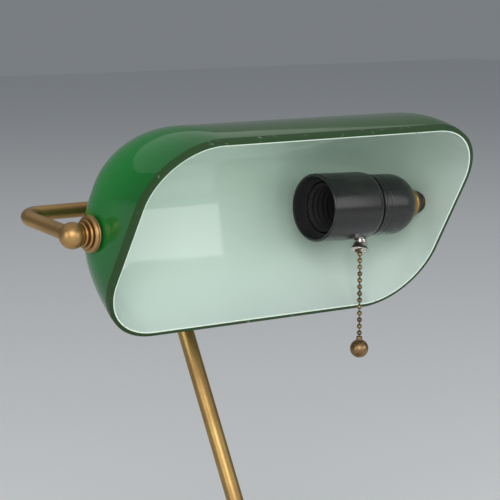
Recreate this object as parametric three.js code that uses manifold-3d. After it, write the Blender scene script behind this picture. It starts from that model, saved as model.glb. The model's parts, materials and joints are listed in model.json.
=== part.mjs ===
// Banker desk lamp with a tilting glass shade on a brass yoke. Millimetres, +Z up, +Y to the back.
// The origin is the centre of the felt under the base, where the lamp stands on the desk.
import * as THREE from 'three';
import { mergeVertices } from 'three/addons/utils/BufferGeometryUtils.js';
import Module from 'manifold-3d';

const wasm = await Module();
wasm.setup();

// Fits
const GAP = 0.3; // between pieces that touch
const SLIP = 0.25; // radial, between a pin or tube and its bore

// Shade, a glass shell whose rim is a rounded rectangle
const SHADE_LENGTH = 225;
const SHADE_WIDTH = 125;
const SHADE_DEPTH = 70;
const SHADE_CORNER = 39;
const SHADE_WALL = 3.2;
const SHADE_END_BULGE = 3.1;
const SHADE_END_POWER = 3.5;
const SHADE_SIDE_POWER = 1.6;
const SHADE_TILT = 59.2; // degrees that the opening faces forwards from straight down
const PIVOT_ABOVE_RIM = 25;
const PIVOT_OFF_CENTRE = 9; // the pivot holes lie nearer the lower rim

// Where the shade turns
const PIVOT_HEIGHT = 300;

// Yoke
const YOKE_RADIUS = 4;
const YOKE_BORE_RADIUS = 2.8;
const YOKE_REACH = 50.3; // pivot axis to the cross tube
const YOKE_RISE = 6.5; // degrees
const YOKE_BEND = 12;
const HUB_RADIUS = 7.4;
const HUB_LENGTH = 24;
const HUB_SOCKET = 11; // cross tube axis to the end of the stem socket

// Stem
const STEM_RADIUS = 4.7;
const STEM_BORE_RADIUS = 3.3;
const STEM_LEAN = 27.2; // degrees from upright
const STEM_FOOT_BEND = 48;
const STEM_FOOT_TOP = 64; // height where the upright foot starts to lean
const STEM_BOTTOM = 5.2;
const NECK_BEND = 33;

// Base
const BASE_RADIUS = 77.5;
const BASE_TOP = 37;
const SHEET = 1.8;
const FELT_THICKNESS = 2.4;
const GLAND_HEIGHT = 9.6;
const GLAND_RADIUS = 3.4;

// Pivot joint: turned pieces on a nipple, between the yoke's ball and the glass
const BALL_RADIUS = 7;
const BALL_FACE = YOKE_RADIUS + GAP; // flat towards the collar, from the ball's centre
const NIPPLE_RADIUS = 4.8;
const PIN_RADIUS = 2.4;
const PIN_REACH = 2.6; // past the ball's centre
const PIVOT_HOLE_RADIUS = NIPPLE_RADIUS + 0.6;
const COLLAR_RADIUS = NIPPLE_RADIUS + 1.6;
const RING_RADIUS = NIPPLE_RADIUS + 3;
const DISC_RADIUS = NIPPLE_RADIUS + 4.9;
const LEFT_SEAT_RADIUS = NIPPLE_RADIUS + 3.2;
const RIGHT_SEAT_RADIUS = NIPPLE_RADIUS + 1.6;
const RING_NUT_RADIUS = NIPPLE_RADIUS + 3.5;
const COLLAR_LENGTH = 1.9;
const RING_LENGTH = 1.4;
const DISC_LENGTH = 3.2;
const OUTER_SEAT = 0.6;
const LEFT_SEAT = 1.2;
const LEFT_WASHER = 1.2;
const LEFT_NUT = 4;
const RIGHT_SEAT = 3.2;
const RING_NUT_LENGTH = 6.84;

// Lampholder, along the pivot axis
const HOLDER_RADIUS = 19;
const SKIRT_LENGTH = 37.6;
const CAP_LENGTH = 29.3;
const MOUTH_RADIUS = 17.3;
const MOUTH_DEPTH = 6.6;
const HOLDER_BORE = 14.6;
const HOLDER_LIFT = 2; // degrees that the open end sits above the pivot axis
const CAP_RADIUS = 17.3;
const THREAD_RADIUS = 13;
const THREAD_PITCH = 3.6;
const CORE_DEPTH = 26.5; // from the open end to the porcelain core
const CORE_LENGTH = 15.6;
const TERMINAL_OFFSET = 9; // height of each terminal screw from the axis

// Pull chain
const CHAIN_DEPTH = 28.8; // from the holder's open end
const BELL_LEAN = 15; // degrees that the bell mouth leans forwards
const BELL_SLANT = 18; // degrees that its mouth turns towards the holder's open end
const BELL_SHIFT = 1.6; // along the holder, so that the chain hangs clear inside the mouth
const BELL_BODY = 3.2; // radius of the bell's stem, in the skirt's hole
const BELL_THROAT = 5.34; // from the holder's wall to where the chain hangs free
const CHAIN_TOP = -HOLDER_RADIUS - 2.6;
const BEAD_RADIUS = 1.45;
const BEAD_PITCH = 3.75;
const BEAD_COUNT = 14;
const LINK_RADIUS = 0.5;
const PULL_RADIUS = 5.2;

const rad = THREE.MathUtils.degToRad;

// Materials
const finish = (color, roughness, metalness) => () =>
  new THREE.MeshStandardMaterial({ color, roughness, metalness });
const brass = finish(0xa98a4c, 0.34, 1);
const paleBrass = finish(0xc0a468, 0.3, 1);
const bronze = finish(0x7a6238, 0.4, 1);
const nickel = finish(0xb9b7ae, 0.28, 1);
const steel = finish(0x8c8f92, 0.4, 1);
const iron = finish(0x3a3a3c, 0.7, 1);
const glass = finish(0x0f5a35, 0.08, 0);
const phenolic = finish(0x121212, 0.38, 0);
const ceramic = finish(0xe6e2d6, 0.3, 0);
const rubber = finish(0x1b1b1b, 0.85, 0);
const felt = finish(0x1f3d2b, 0.98, 0);

// Position-only geometry with shared corners and no empty triangles
function weld(geometry) {
  const bare = geometry.index ? geometry.toNonIndexed() : geometry.clone();
  bare.deleteAttribute('normal');
  bare.deleteAttribute('uv');
  bare.clearGroups();
  const merged = mergeVertices(bare, 1e-4);
  const index = merged.index.array;
  const kept = [];
  for (let i = 0; i < index.length; i += 3) {
    const [a, b, c] = [index[i], index[i + 1], index[i + 2]];
    if (a !== b && b !== c && c !== a) {
      kept.push(a, b, c);
    }
  }
  merged.setIndex(kept);
  return merged;
}

function volumeOf(geometry) {
  const p = geometry.attributes.position;
  const index = geometry.index.array;
  const [a, b, c] = [new THREE.Vector3(), new THREE.Vector3(), new THREE.Vector3()];
  let total = 0;
  for (let i = 0; i < index.length; i += 3) {
    a.fromBufferAttribute(p, index[i]);
    b.fromBufferAttribute(p, index[i + 1]);
    c.fromBufferAttribute(p, index[i + 2]);
    total += a.dot(b.cross(c)) / 6;
  }
  return total;
}

// A manifold solid with its faces pointing out
function solid(geometry) {
  const welded = weld(geometry);
  const tris = Array.from(welded.index.array);
  if (volumeOf(welded) < 0) {
    for (let i = 0; i < tris.length; i += 3) {
      [tris[i + 1], tris[i + 2]] = [tris[i + 2], tris[i + 1]];
    }
  }
  const mesh = new wasm.Mesh({
    numProp: 3,
    vertProperties: new Float32Array(welded.attributes.position.array),
    triVerts: new Uint32Array(tris),
  });
  return new wasm.Manifold(mesh);
}

function geometryOf(manifold) {
  const mesh = manifold.getMesh();
  const geometry = new THREE.BufferGeometry();
  geometry.setAttribute('position', new THREE.BufferAttribute(new Float32Array(mesh.vertProperties), 3));
  geometry.setIndex(new THREE.BufferAttribute(new Uint32Array(mesh.triVerts), 1));
  return geometry;
}

function piece(name, shape, material) {
  const geometry = geometryOf(shape instanceof THREE.BufferGeometry ? solid(shape) : shape);
  geometry.computeVertexNormals();
  const mesh = new THREE.Mesh(geometry, material());
  mesh.name = name;
  return mesh;
}

// Turned shapes. A profile is a list of [radius, height] that closes on itself or on the axis.
function turnedZ(profile, sides) {
  const closed = profile[0][0] > 0 ? [...profile, profile[0]] : profile;
  const points = closed.map(([r, h]) => new THREE.Vector2(r, h));
  return new THREE.LatheGeometry(points, sides).rotateX(Math.PI / 2);
}

function turnedX(profile, sides) {
  return turnedZ(profile, sides).rotateY(Math.PI / 2);
}

function rodZ(radius, from, to, sides) {
  return turnedZ([[0, from], [radius, from], [radius, to], [0, to]], sides);
}

function rodX(radius, from, to, sides) {
  return rodZ(radius, from, to, sides).rotateY(Math.PI / 2);
}

function rodY(radius, from, to, sides) {
  return rodZ(radius, from, to, sides).rotateX(-Math.PI / 2);
}

function tubeX(outer, inner, from, to, sides) {
  return turnedX([[inner, from], [outer, from], [outer, to], [inner, to]], sides);
}

function box(x0, x1, y0, y1, z0, z1) {
  const shape = new THREE.BoxGeometry(x1 - x0, y1 - y0, z1 - z0);
  return shape.translate((x0 + x1) / 2, (y0 + y1) / 2, (z0 + z1) / 2);
}

function hexZ(acrossFlats, from, to) {
  return rodZ(acrossFlats / Math.sqrt(3), from, to, 6);
}

// A path through knots, each a place and a direction, with one step between neighbours
class KnotPath extends THREE.Curve {
  constructor(knots) {
    super();
    this.knots = knots;
  }

  between(t) {
    const at = Math.min(Math.max(t, 0), 1) * (this.knots.length - 1);
    const i = Math.min(Math.floor(at), this.knots.length - 2);
    return [this.knots[i], this.knots[i + 1], at - i];
  }

  getPoint(t) {
    const [a, b, f] = this.between(t);
    return a.place.clone().lerp(b.place, f);
  }

  getTangent(t) {
    const [a, b, f] = this.between(t);
    return a.along.clone().lerp(b.along, f).normalize();
  }

  getUtoTmapping(u) {
    return u;
  }
}

function knot(place, along) {
  return { place: place.clone(), along: along.clone().normalize() };
}

// Knots of an arc that starts at place, heads along, and turns by angle towards inward
function arcKnots(place, along, inward, radius, angle, steps) {
  const centre = place.clone().addScaledVector(inward, radius);
  const knots = [];
  for (let i = 0; i <= steps; i += 1) {
    const turn = (angle * i) / steps;
    const spot = centre.clone();
    spot.addScaledVector(inward, -radius * Math.cos(turn));
    spot.addScaledVector(along, radius * Math.sin(turn));
    const heading = along.clone().multiplyScalar(Math.cos(turn)).addScaledVector(inward, Math.sin(turn));
    knots.push(knot(spot, heading));
  }
  return knots;
}

function straightKnots(from, to, steps) {
  const heading = to.clone().sub(from);
  const knots = [];
  for (let i = 1; i < steps; i += 1) {
    knots.push(knot(from.clone().lerp(to, i / steps), heading));
  }
  return knots;
}

function pipe(knots, radius, bore, sides) {
  const section = new THREE.Shape();
  section.absarc(0, 0, radius, 0, Math.PI * 2, false);
  if (bore > 0) {
    const hole = new THREE.Path();
    hole.absarc(0, 0, bore, 0, Math.PI * 2, true);
    section.holes.push(hole);
  }
  const options = { steps: knots.length - 1, curveSegments: sides / 2, extrudePath: new KnotPath(knots) };
  return new THREE.ExtrudeGeometry(section, options);
}

// ---- Stem and neck, a plane curve at X = 0 ----
const lean = rad(STEM_LEAN);
const UP = new THREE.Vector3(0, 0, 1);
const BACK = new THREE.Vector3(0, 1, 0);
const SIDE = new THREE.Vector3(1, 0, 0);
const LEANING = new THREE.Vector3(0, Math.sin(lean), Math.cos(lean));
const LEANING_FRONT = new THREE.Vector3(0, -Math.cos(lean), Math.sin(lean));
const YOKE_BACK = new THREE.Vector3(0, Math.cos(rad(YOKE_RISE)), Math.sin(rad(YOKE_RISE)));

// The foot bend fixes where the lean starts, and the neck bend how far the stem runs
const leanStart = new THREE.Vector3(
  0,
  STEM_FOOT_BEND * (1 - Math.cos(lean)),
  STEM_FOOT_TOP + STEM_FOOT_BEND * Math.sin(lean),
);

// Neck geometry measured from the cross tube, whose height follows the pivot
function neckLayout() {
  const turn = Math.PI - (Math.PI / 2 - lean) + rad(YOKE_RISE);
  const rise = rad(YOKE_RISE);
  const crossHeight = PIVOT_HEIGHT + YOKE_REACH * Math.sin(rise);
  const socketHeight = crossHeight + HUB_SOCKET * Math.sin(rise);
  const centreHeight = socketHeight - NECK_BEND * Math.cos(rise);
  const tangentHeight = centreHeight - NECK_BEND * Math.sin(lean);
  const run = (tangentHeight - leanStart.z) / Math.cos(lean);
  const tangent = leanStart.clone().addScaledVector(LEANING, run);
  const socket = tangent.clone();
  socket.addScaledVector(LEANING_FRONT, NECK_BEND * (1 - Math.cos(turn)));
  socket.addScaledVector(LEANING, NECK_BEND * Math.sin(turn));
  const cross = socket.clone().addScaledVector(YOKE_BACK, -HUB_SOCKET);
  return { turn, tangent, socket, cross };
}

const neck = neckLayout();
const PIVOT = neck.cross.clone().addScaledVector(YOKE_BACK, -YOKE_REACH);

function stemTube() {
  const bottom = new THREE.Vector3(0, 0, STEM_BOTTOM);
  const footTop = new THREE.Vector3(0, 0, STEM_FOOT_TOP);
  const end = neck.cross.clone().addScaledVector(YOKE_BACK, YOKE_RADIUS + 2 * GAP);
  const knots = [
    knot(bottom, UP),
    ...arcKnots(footTop, UP, BACK, STEM_FOOT_BEND, lean, 4),
    ...arcKnots(neck.tangent, LEANING, LEANING_FRONT, NECK_BEND, neck.turn, 14),
    knot(end, YOKE_BACK.clone().negate()),
  ];
  return piece('stem_tube', pipe(knots, STEM_RADIUS, STEM_BORE_RADIUS, 12), brass);
}

// ---- Base ----
const COLLAR_FOOT = 13; // radius of the collar on top of the dome
const SHOULDER = new THREE.Vector2(BASE_RADIUS - 12, BASE_TOP - 18);
const DOME_TOP = new THREE.Vector2(COLLAR_FOOT + 0.5, BASE_TOP);

// The dome sweeps up from its shoulder to the flat under the collar
function domeCurve() {
  const run = SHOULDER.x - DOME_TOP.x;
  const rise = DOME_TOP.y - SHOULDER.y;
  const low = new THREE.Vector2(SHOULDER.x - run * 0.7, SHOULDER.y + rise * 0.16);
  const high = new THREE.Vector2(DOME_TOP.x + run * 0.2, DOME_TOP.y);
  return new THREE.CubicBezierCurve(SHOULDER, low, high, DOME_TOP);
}

const BASE_OUTLINE = [
  [BASE_RADIUS - 1.2, FELT_THICKNESS + GAP],
  [BASE_RADIUS, FELT_THICKNESS + GAP + 1.2],
  [BASE_RADIUS, SHOULDER.y - 5.8],
  [BASE_RADIUS - 0.7, SHOULDER.y - 4.4],
  [BASE_RADIUS - 2.2, SHOULDER.y - 3.4],
  [BASE_RADIUS - 6, SHOULDER.y - 2.8],
  [BASE_RADIUS - 7, SHOULDER.y - 1.8],
  [BASE_RADIUS - 8.6, SHOULDER.y - 0.6],
  ...domeCurve().getPoints(8).map((spot) => spot.toArray()),
];

function baseInside(depth) {
  const last = BASE_OUTLINE.length - 1;
  const inner = [];
  BASE_OUTLINE.forEach(([r, h], i) => {
    const before = BASE_OUTLINE[Math.max(i - 1, 0)];
    const after = BASE_OUTLINE[Math.min(i + 1, last)];
    const across = new THREE.Vector2(after[1] - before[1], before[0] - after[0]).normalize();
    inner.push([r - across.x * depth, h - across.y * depth]);
  });
  return inner.slice(2);
}

function baseShell() {
  const bore = STEM_RADIUS + SLIP;
  const inner = baseInside(SHEET).reverse();
  const outer = BASE_OUTLINE;
  const foot = FELT_THICKNESS + GAP;
  const wall = BASE_RADIUS - SHEET;
  const profile = [...outer, [bore, BASE_TOP], [bore, BASE_TOP - SHEET], ...inner, [wall, foot]];
  const shell = solid(turnedZ(profile, 30));
  const reach = BASE_RADIUS + 10;
  const hole = solid(rodY(GLAND_RADIUS + SLIP, reach - 30, reach, 20).translate(0, 0, GLAND_HEIGHT));
  return piece('base_shell', shell.subtract(hole), brass);
}

function baseWeight() {
  const bore = STEM_RADIUS + SLIP;
  const inner = baseInside(SHEET + 1.4).filter((spot, i) => i % 3 !== 1);
  const underside = FELT_THICKNESS + 3 * GAP + 1.6;
  const side = BASE_RADIUS - SHEET - 1.4;
  const top = BASE_TOP - SHEET - 1.4;
  const pocket = [[bore, top], [bore, 13], [14, 13], [14, underside]];
  const profile = [[side, underside], ...inner, ...pocket];
  const weight = solid(turnedZ(profile, 30));
  const notch = solid(box(-9, 9, BASE_RADIUS - 21.5, BASE_RADIUS + 10, 0, 30));
  return piece('base_weight', weight.subtract(notch), iron);
}

function basePlate() {
  const low = FELT_THICKNESS + GAP;
  return piece('base_plate', rodZ(BASE_RADIUS - SHEET - GAP, low, low + 1.6, 30), steel);
}

function baseFelt() {
  return piece('base_felt_pad', rodZ(BASE_RADIUS - 1.5, 0, FELT_THICKNESS, 30), felt);
}

function cableGland() {
  const face = BASE_RADIUS;
  const bore = GLAND_RADIUS - 1.2;
  const profile = [
    [bore, face - 7.4],
    [GLAND_RADIUS, face - 7.4],
    [GLAND_RADIUS, face + GAP],
    [5, face + GAP],
    [5, face + 1.6],
    [4.2, face + 2.8],
    [3, face + 3.4],
    [bore, face + 3.4],
  ];
  const shape = turnedZ(profile, 18).rotateX(-Math.PI / 2).translate(0, 0, GLAND_HEIGHT);
  return piece('cable_gland', shape, rubber);
}

function glandNut() {
  const face = BASE_RADIUS - SHEET - 2;
  const bore = solid(rodY(GLAND_RADIUS + SLIP, face - 5, face + 2, 18));
  const nut = solid(hexZ(8.4, face - 2.4, face).rotateZ(Math.PI / 6).rotateX(-Math.PI / 2));
  const shape = nut.subtract(bore).translate([0, 0, GLAND_HEIGHT]);
  return piece('gland_nut', shape, nickel);
}

function stemCollar() {
  const bore = STEM_RADIUS + SLIP;
  const z = BASE_TOP + GAP;
  const profile = [
    [bore, z],
    [COLLAR_FOOT - 0.4, z],
    [COLLAR_FOOT, z + 0.8],
    [COLLAR_FOOT - 0.4, z + 2],
    [10.6, z + 3],
    [9.6, z + 4.6],
    [8.6, z + 8],
    [8.8, z + 9.4],
    [9.4, z + 10.4],
    [9.4, z + 11.8],
    [8.4, z + 13],
    [7, z + 14],
    [bore, z + 14],
  ];
  return piece('stem_collar', turnedZ(profile, 18), brass);
}

function stemWasher() {
  const bore = STEM_RADIUS + SLIP;
  return piece('stem_washer', turnedZ([[bore, 11.3], [12, 11.3], [12, 12.7], [bore, 12.7]], 28), steel);
}

function stemNut() {
  const bore = solid(rodZ(STEM_RADIUS + SLIP, 0, 20, 24));
  return piece('stem_lock_nut', solid(hexZ(16, 6.4, 11)).subtract(bore), steel);
}

// ---- Yoke, built flat in its own plane and then raised ----
function yokeTube(ballX) {
  const end = BALL_RADIUS - 3;
  const far = YOKE_REACH;
  const v = (x, y) => new THREE.Vector3(x, y, 0);
  const left = arcKnots(v(-ballX, far - YOKE_BEND), BACK, SIDE, YOKE_BEND, Math.PI / 2, 6);
  const right = arcKnots(v(ballX - YOKE_BEND, far), SIDE, BACK.clone().negate(), YOKE_BEND, Math.PI / 2, 6);
  const middle = straightKnots(v(YOKE_BEND - ballX, far), v(ballX - YOKE_BEND, far), 6);
  const knots = [knot(v(-ballX, end), BACK), ...left, ...middle, ...right];
  knots.push(knot(v(ballX, end), BACK.clone().negate()));
  return piece('yoke_tube', pipe(knots, YOKE_RADIUS, YOKE_BORE_RADIUS, 12), brass);
}

function yokeHub() {
  const half = HUB_LENGTH / 2;
  const sleeve = solid(turnedX([
    [0, -half], [HUB_RADIUS - 1.2, -half], [HUB_RADIUS, 1.2 - half], [HUB_RADIUS, half - 1.2],
    [HUB_RADIUS - 1.2, half], [0, half],
  ], 28));
  const boss = solid(rodY(HUB_RADIUS - 0.2, 0, HUB_SOCKET, 28));
  const tube = solid(rodX(YOKE_RADIUS + SLIP, -half - 5, half + 5, 24));
  const socket = solid(rodY(STEM_RADIUS + SLIP, 3, HUB_SOCKET + 5, 24));
  const screw = solid(rodZ(1.6 + SLIP, -12, 0, 14).translate(0, 8, 0));
  const shape = sleeve.add(boss).subtract(tube).subtract(socket).subtract(screw);
  return piece('yoke_hub', shape.translate([0, YOKE_REACH, 0]), brass);
}

function hubScrew() {
  const low = -HUB_RADIUS - 1;
  const high = -STEM_RADIUS - GAP;
  const head = solid(rodZ(1.6, low, high, 14));
  const slot = solid(box(-0.35, 0.35, -3, 3, low - 1, low + 0.9));
  return piece('hub_set_screw', head.subtract(slot).translate([0, YOKE_REACH + 8, 0]), steel);
}

function ball(name, side, ballX) {
  const steps = 7;
  const from = Math.acos(BALL_FACE / BALL_RADIUS);
  const profile = [[0, BALL_FACE]];
  for (let i = 0; i <= steps; i += 1) {
    const a = from + ((Math.PI - from) * i) / steps;
    profile.push([i === steps ? 0 : BALL_RADIUS * Math.sin(a), BALL_RADIUS * Math.cos(a)]);
  }
  const pin = solid(rodX(PIN_RADIUS + SLIP, -PIN_REACH - 0.6, 20, 12));
  const arm = solid(rodY(YOKE_RADIUS + SLIP, BALL_RADIUS - 3.4, 20, 14));
  const shape = solid(turnedX(profile, 18)).subtract(pin).rotate([0, 0, side > 0 ? 180 : 0]).subtract(arm);
  return piece(name, shape.translate([side * ballX, 0, 0]), brass);
}

// ---- Shade ----
function shadePlan(height, depth, halfLength, halfWidth, corner) {
  const q = Math.min(Math.max(height / depth, 0), 1);
  const bulge = SHADE_END_BULGE * 4 * q * (1 - q);
  const a = (halfLength + bulge) * Math.pow(1 - Math.pow(q, SHADE_END_POWER), 1 / SHADE_END_POWER);
  const w = halfWidth * Math.pow(1 - Math.pow(q, SHADE_SIDE_POWER), 1 / SHADE_SIDE_POWER);
  const share = corner / halfWidth;
  return { a, w, r: w * (share + (1 - share) * q) };
}

const CORNER_STEPS = 6;

function shadeRing(height, depth, inset) {
  const plan = shadePlan(
    height, depth, SHADE_LENGTH / 2 - inset, SHADE_WIDTH / 2 - inset, SHADE_CORNER - inset,
  );
  const ring = [];
  const corners = [[1, 1, 0], [-1, 1, 90], [-1, -1, 180], [1, -1, 270]];
  for (const [sx, sy, start] of corners) {
    for (let i = 0; i <= CORNER_STEPS; i += 1) {
      const t = rad(start + (90 * i) / CORNER_STEPS);
      const x = sx * (plan.a - plan.r) + plan.r * Math.cos(t);
      const y = sy * (plan.w - plan.r) + plan.r * Math.sin(t);
      ring.push([x, y, height]);
    }
    // one more column along each straight run, halfway to the next corner
    const [x, y] = sx === sy ? [0, sy * plan.w] : [sx * plan.a, 0];
    ring.push([x, y, height]);
  }
  return ring;
}

function shadeSurface(depth, inset, rows) {
  const rings = [];
  for (let i = 0; i < rows; i += 1) {
    rings.push(shadeRing(depth * Math.sin((Math.PI / 2) * (i / rows)), depth, inset));
  }
  return rings;
}

function gridGeometry(rings, poleHigh, poleLow) {
  const positions = [];
  const index = [];
  const count = rings[0].length;
  rings.forEach((ring) => ring.forEach((p) => positions.push(...p)));
  for (let i = 0; i + 1 < rings.length; i += 1) {
    for (let j = 0; j < count; j += 1) {
      const k = (j + 1) % count;
      const [a, b] = [i * count + j, i * count + k];
      index.push(a, b, b + count, a, b + count, a + count);
    }
  }
  const first = positions.length / 3;
  positions.push(...poleHigh, ...poleLow);
  const end = (rings.length - 1) * count;
  for (let j = 0; j < count; j += 1) {
    const k = (j + 1) % count;
    index.push(first, k, j);
    index.push(first + 1, end + j, end + k);
  }
  const geometry = new THREE.BufferGeometry();
  geometry.setAttribute('position', new THREE.Float32BufferAttribute(positions, 3));
  geometry.setIndex(index);
  return geometry;
}

// Outer and inner surface share one grid, from the outer crown down to the rim and up inside
function shadeGlass() {
  const outer = shadeSurface(SHADE_DEPTH, 0, 12).reverse();
  const inner = shadeSurface(SHADE_DEPTH - SHADE_WALL, SHADE_WALL, 11);
  const rings = [...outer, ...inner];
  const shell = solid(gridGeometry(rings, [0, 0, SHADE_DEPTH], [0, 0, SHADE_DEPTH - SHADE_WALL]));
  const holes = solid(rodX(PIVOT_HOLE_RADIUS, -150, 150, 24).translate(0, PIVOT_OFF_CENTRE, PIVOT_ABOVE_RIM));
  const shape = shell.subtract(holes).translate([0, -PIVOT_OFF_CENTRE, -PIVOT_ABOVE_RIM]);
  return piece('shade_glass', shape, glass);
}

// Distance from the middle to the glass end, outside and inside, next to the pivot hole
function endOfGlass(inset, reach, pick) {
  const depth = SHADE_DEPTH - inset;
  const [length, width, corner] = [SHADE_LENGTH / 2 - inset, SHADE_WIDTH / 2 - inset, SHADE_CORNER - inset];
  const spots = [];
  for (const dz of [-reach, 0, reach]) {
    const plan = shadePlan(PIVOT_ABOVE_RIM + dz, depth, length, width, corner);
    for (const dy of [0, reach * 0.9]) {
      const past = Math.max(PIVOT_OFF_CENTRE + dy - (plan.w - plan.r), 0);
      spots.push(plan.a - plan.r + Math.sqrt(plan.r * plan.r - past * past));
    }
  }
  return pick(...spots);
}

const GLASS_OUT = endOfGlass(0, DISC_RADIUS, Math.max);
const GLASS_IN_LEFT = endOfGlass(SHADE_WALL, LEFT_SEAT_RADIUS, Math.min);
const GLASS_IN_RIGHT = endOfGlass(SHADE_WALL, RIGHT_SEAT_RADIUS, Math.min);
// Ends of the turned pieces, from the ball's centre towards the glass
const COLLAR_START = BALL_FACE + GAP;
const COLLAR_STOP = COLLAR_START + COLLAR_LENGTH;
const RING_START = COLLAR_STOP + GAP;
const RING_STOP = RING_START + RING_LENGTH;
const DISC_START = RING_STOP + GAP;
const DISC_STOP = DISC_START + DISC_LENGTH;
const SEAT_START = DISC_STOP + GAP;
const SEAT_STOP = SEAT_START + OUTER_SEAT;
const BALL_X = GLASS_OUT + GAP + SEAT_STOP;

// The lampholder is placed from the right end of the glass, through the seat and the ring nut
const RING_NUT_STOP = GLASS_IN_RIGHT - GAP - RIGHT_SEAT - GAP;
const HOLDER_END = RING_NUT_STOP - RING_NUT_LENGTH - GAP;
const HOLDER_SEAM = HOLDER_END - CAP_LENGTH;
const HOLDER_OPEN = HOLDER_SEAM - SKIRT_LENGTH;
const CORE_START = HOLDER_OPEN + CORE_DEPTH;
const CORE_END = CORE_START + CORE_LENGTH;
const CHAIN_X = HOLDER_OPEN + CHAIN_DEPTH;
const CHAIN_Y = -(HOLDER_RADIUS + BELL_THROAT) * Math.sin(rad(BELL_LEAN));

// Turned pieces outside the glass, the same at both ends
function outsideStack(name, side) {
  const bore = NIPPLE_RADIUS + SLIP;
  const flip = (shape) => (side < 0 ? shape.rotateY(Math.PI) : shape);
  const at = (d) => BALL_X - d;
  const collar = turnedX([
    [bore, at(COLLAR_STOP)], [COLLAR_RADIUS - 0.3, at(COLLAR_STOP)], [COLLAR_RADIUS, at(COLLAR_STOP - 0.4)],
    [COLLAR_RADIUS, at(COLLAR_START + 0.5)], [COLLAR_RADIUS - 0.5, at(COLLAR_START)],
    [bore, at(COLLAR_START)],
  ], 16);
  const ring = turnedX([
    [bore, at(RING_STOP)], [RING_RADIUS - 0.3, at(RING_STOP)], [RING_RADIUS, at(RING_STOP - 0.4)],
    [RING_RADIUS, at(RING_START + 0.4)], [RING_RADIUS - 0.4, at(RING_START)], [bore, at(RING_START)],
  ], 16);
  const disc = turnedX([
    [bore, at(DISC_STOP)], [DISC_RADIUS, at(DISC_STOP)], [DISC_RADIUS, at(DISC_START + 1.1)],
    [DISC_RADIUS - 0.5, at(DISC_START + 0.3)], [DISC_RADIUS - 1.4, at(DISC_START)], [bore, at(DISC_START)],
  ], 18);
  const seat = tubeX(DISC_RADIUS - 1, bore, at(SEAT_STOP), at(SEAT_START), 20);
  return [
    piece(`${name}_pivot_collar`, flip(collar), brass),
    piece(`${name}_pivot_ring`, flip(ring), brass),
    piece(`${name}_pivot_disc`, flip(disc), brass),
    piece(`${name}_outer_seat`, flip(seat), rubber),
  ];
}

// The nipple is clamped to the shade and its thin end turns in the ball
function leftPivot() {
  const seatEnd = GLASS_IN_LEFT - GAP;
  const washerEnd = seatEnd - LEFT_SEAT - GAP;
  const nutEnd = washerEnd - LEFT_WASHER - GAP;
  const start = nutEnd - LEFT_NUT - 0.6;
  const nipple = turnedX([
    [0, start], [NIPPLE_RADIUS, start], [NIPPLE_RADIUS, BALL_X - COLLAR_START],
    [PIN_RADIUS, BALL_X - COLLAR_START], [PIN_RADIUS, BALL_X + PIN_REACH], [0, BALL_X + PIN_REACH],
  ], 22).rotateY(Math.PI);
  const ring = (end, length) => tubeX(LEFT_SEAT_RADIUS, NIPPLE_RADIUS + SLIP, end - length, end, 14);
  const seat = ring(seatEnd, LEFT_SEAT).rotateY(Math.PI);
  const washer = ring(washerEnd, LEFT_WASHER).rotateY(Math.PI);
  const bore = solid(rodX(NIPPLE_RADIUS + SLIP, -nutEnd - 5, 5 - start, 22));
  const nut = solid(hexZ(2 * NIPPLE_RADIUS + 4.4, -nutEnd, LEFT_NUT - nutEnd).rotateY(Math.PI / 2));
  return [
    piece('left_nipple', nipple, paleBrass),
    piece('left_inner_seat', seat, rubber),
    piece('left_inner_washer', washer, paleBrass),
    piece('left_inner_nut', nut.subtract(bore), paleBrass),
  ];
}

function rightPivot() {
  const wire = 1.2;
  const start = HOLDER_END - 6;
  const nipple = turnedX([
    [wire, start], [NIPPLE_RADIUS, start], [NIPPLE_RADIUS, BALL_X - COLLAR_START],
    [PIN_RADIUS, BALL_X - COLLAR_START], [PIN_RADIUS, BALL_X + PIN_REACH], [wire, BALL_X + PIN_REACH],
  ], 18);
  const seatEnd = GLASS_IN_RIGHT - GAP;
  const seat = tubeX(RIGHT_SEAT_RADIUS, NIPPLE_RADIUS + SLIP, seatEnd - RIGHT_SEAT, seatEnd, 20);
  const [nutStart, nutEnd] = [HOLDER_END + GAP, RING_NUT_STOP];
  const nut = turnedX([
    [NIPPLE_RADIUS + SLIP, nutStart], [RING_NUT_RADIUS - 0.4, nutStart], [RING_NUT_RADIUS, nutStart + 0.5],
    [RING_NUT_RADIUS, nutEnd - 0.5], [RING_NUT_RADIUS - 0.4, nutEnd], [NIPPLE_RADIUS + SLIP, nutEnd],
  ], 16);
  return [
    piece('right_nipple', nipple, paleBrass),
    piece('right_inner_seat', seat, rubber),
    piece('right_ring_nut', nut, paleBrass),
  ];
}

// ---- Lampholder ----
// The profile's height becomes the distance from the holder's axis, pointing down and forwards
function bellPlace(shape) {
  return shape.rotateX(Math.PI).rotateX(-rad(BELL_LEAN)).translate(CHAIN_X + BELL_SHIFT, 0, 0);
}

// Turns what lies past a height over, sideways about Y, over the next few millimetres
function slanted(shape, height, run, angle) {
  const p = shape.attributes.position;
  for (let i = 0; i < p.count; i += 1) {
    const past = p.getZ(i) - height;
    if (past > 0) {
      const turn = angle * Math.min(past / run, 1);
      const [sin, cos] = [Math.sin(turn), Math.cos(turn)];
      const x = p.getX(i);
      p.setXYZ(i, x * cos - past * sin, p.getY(i), height + x * sin + past * cos);
    }
  }
  return shape;
}

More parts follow.
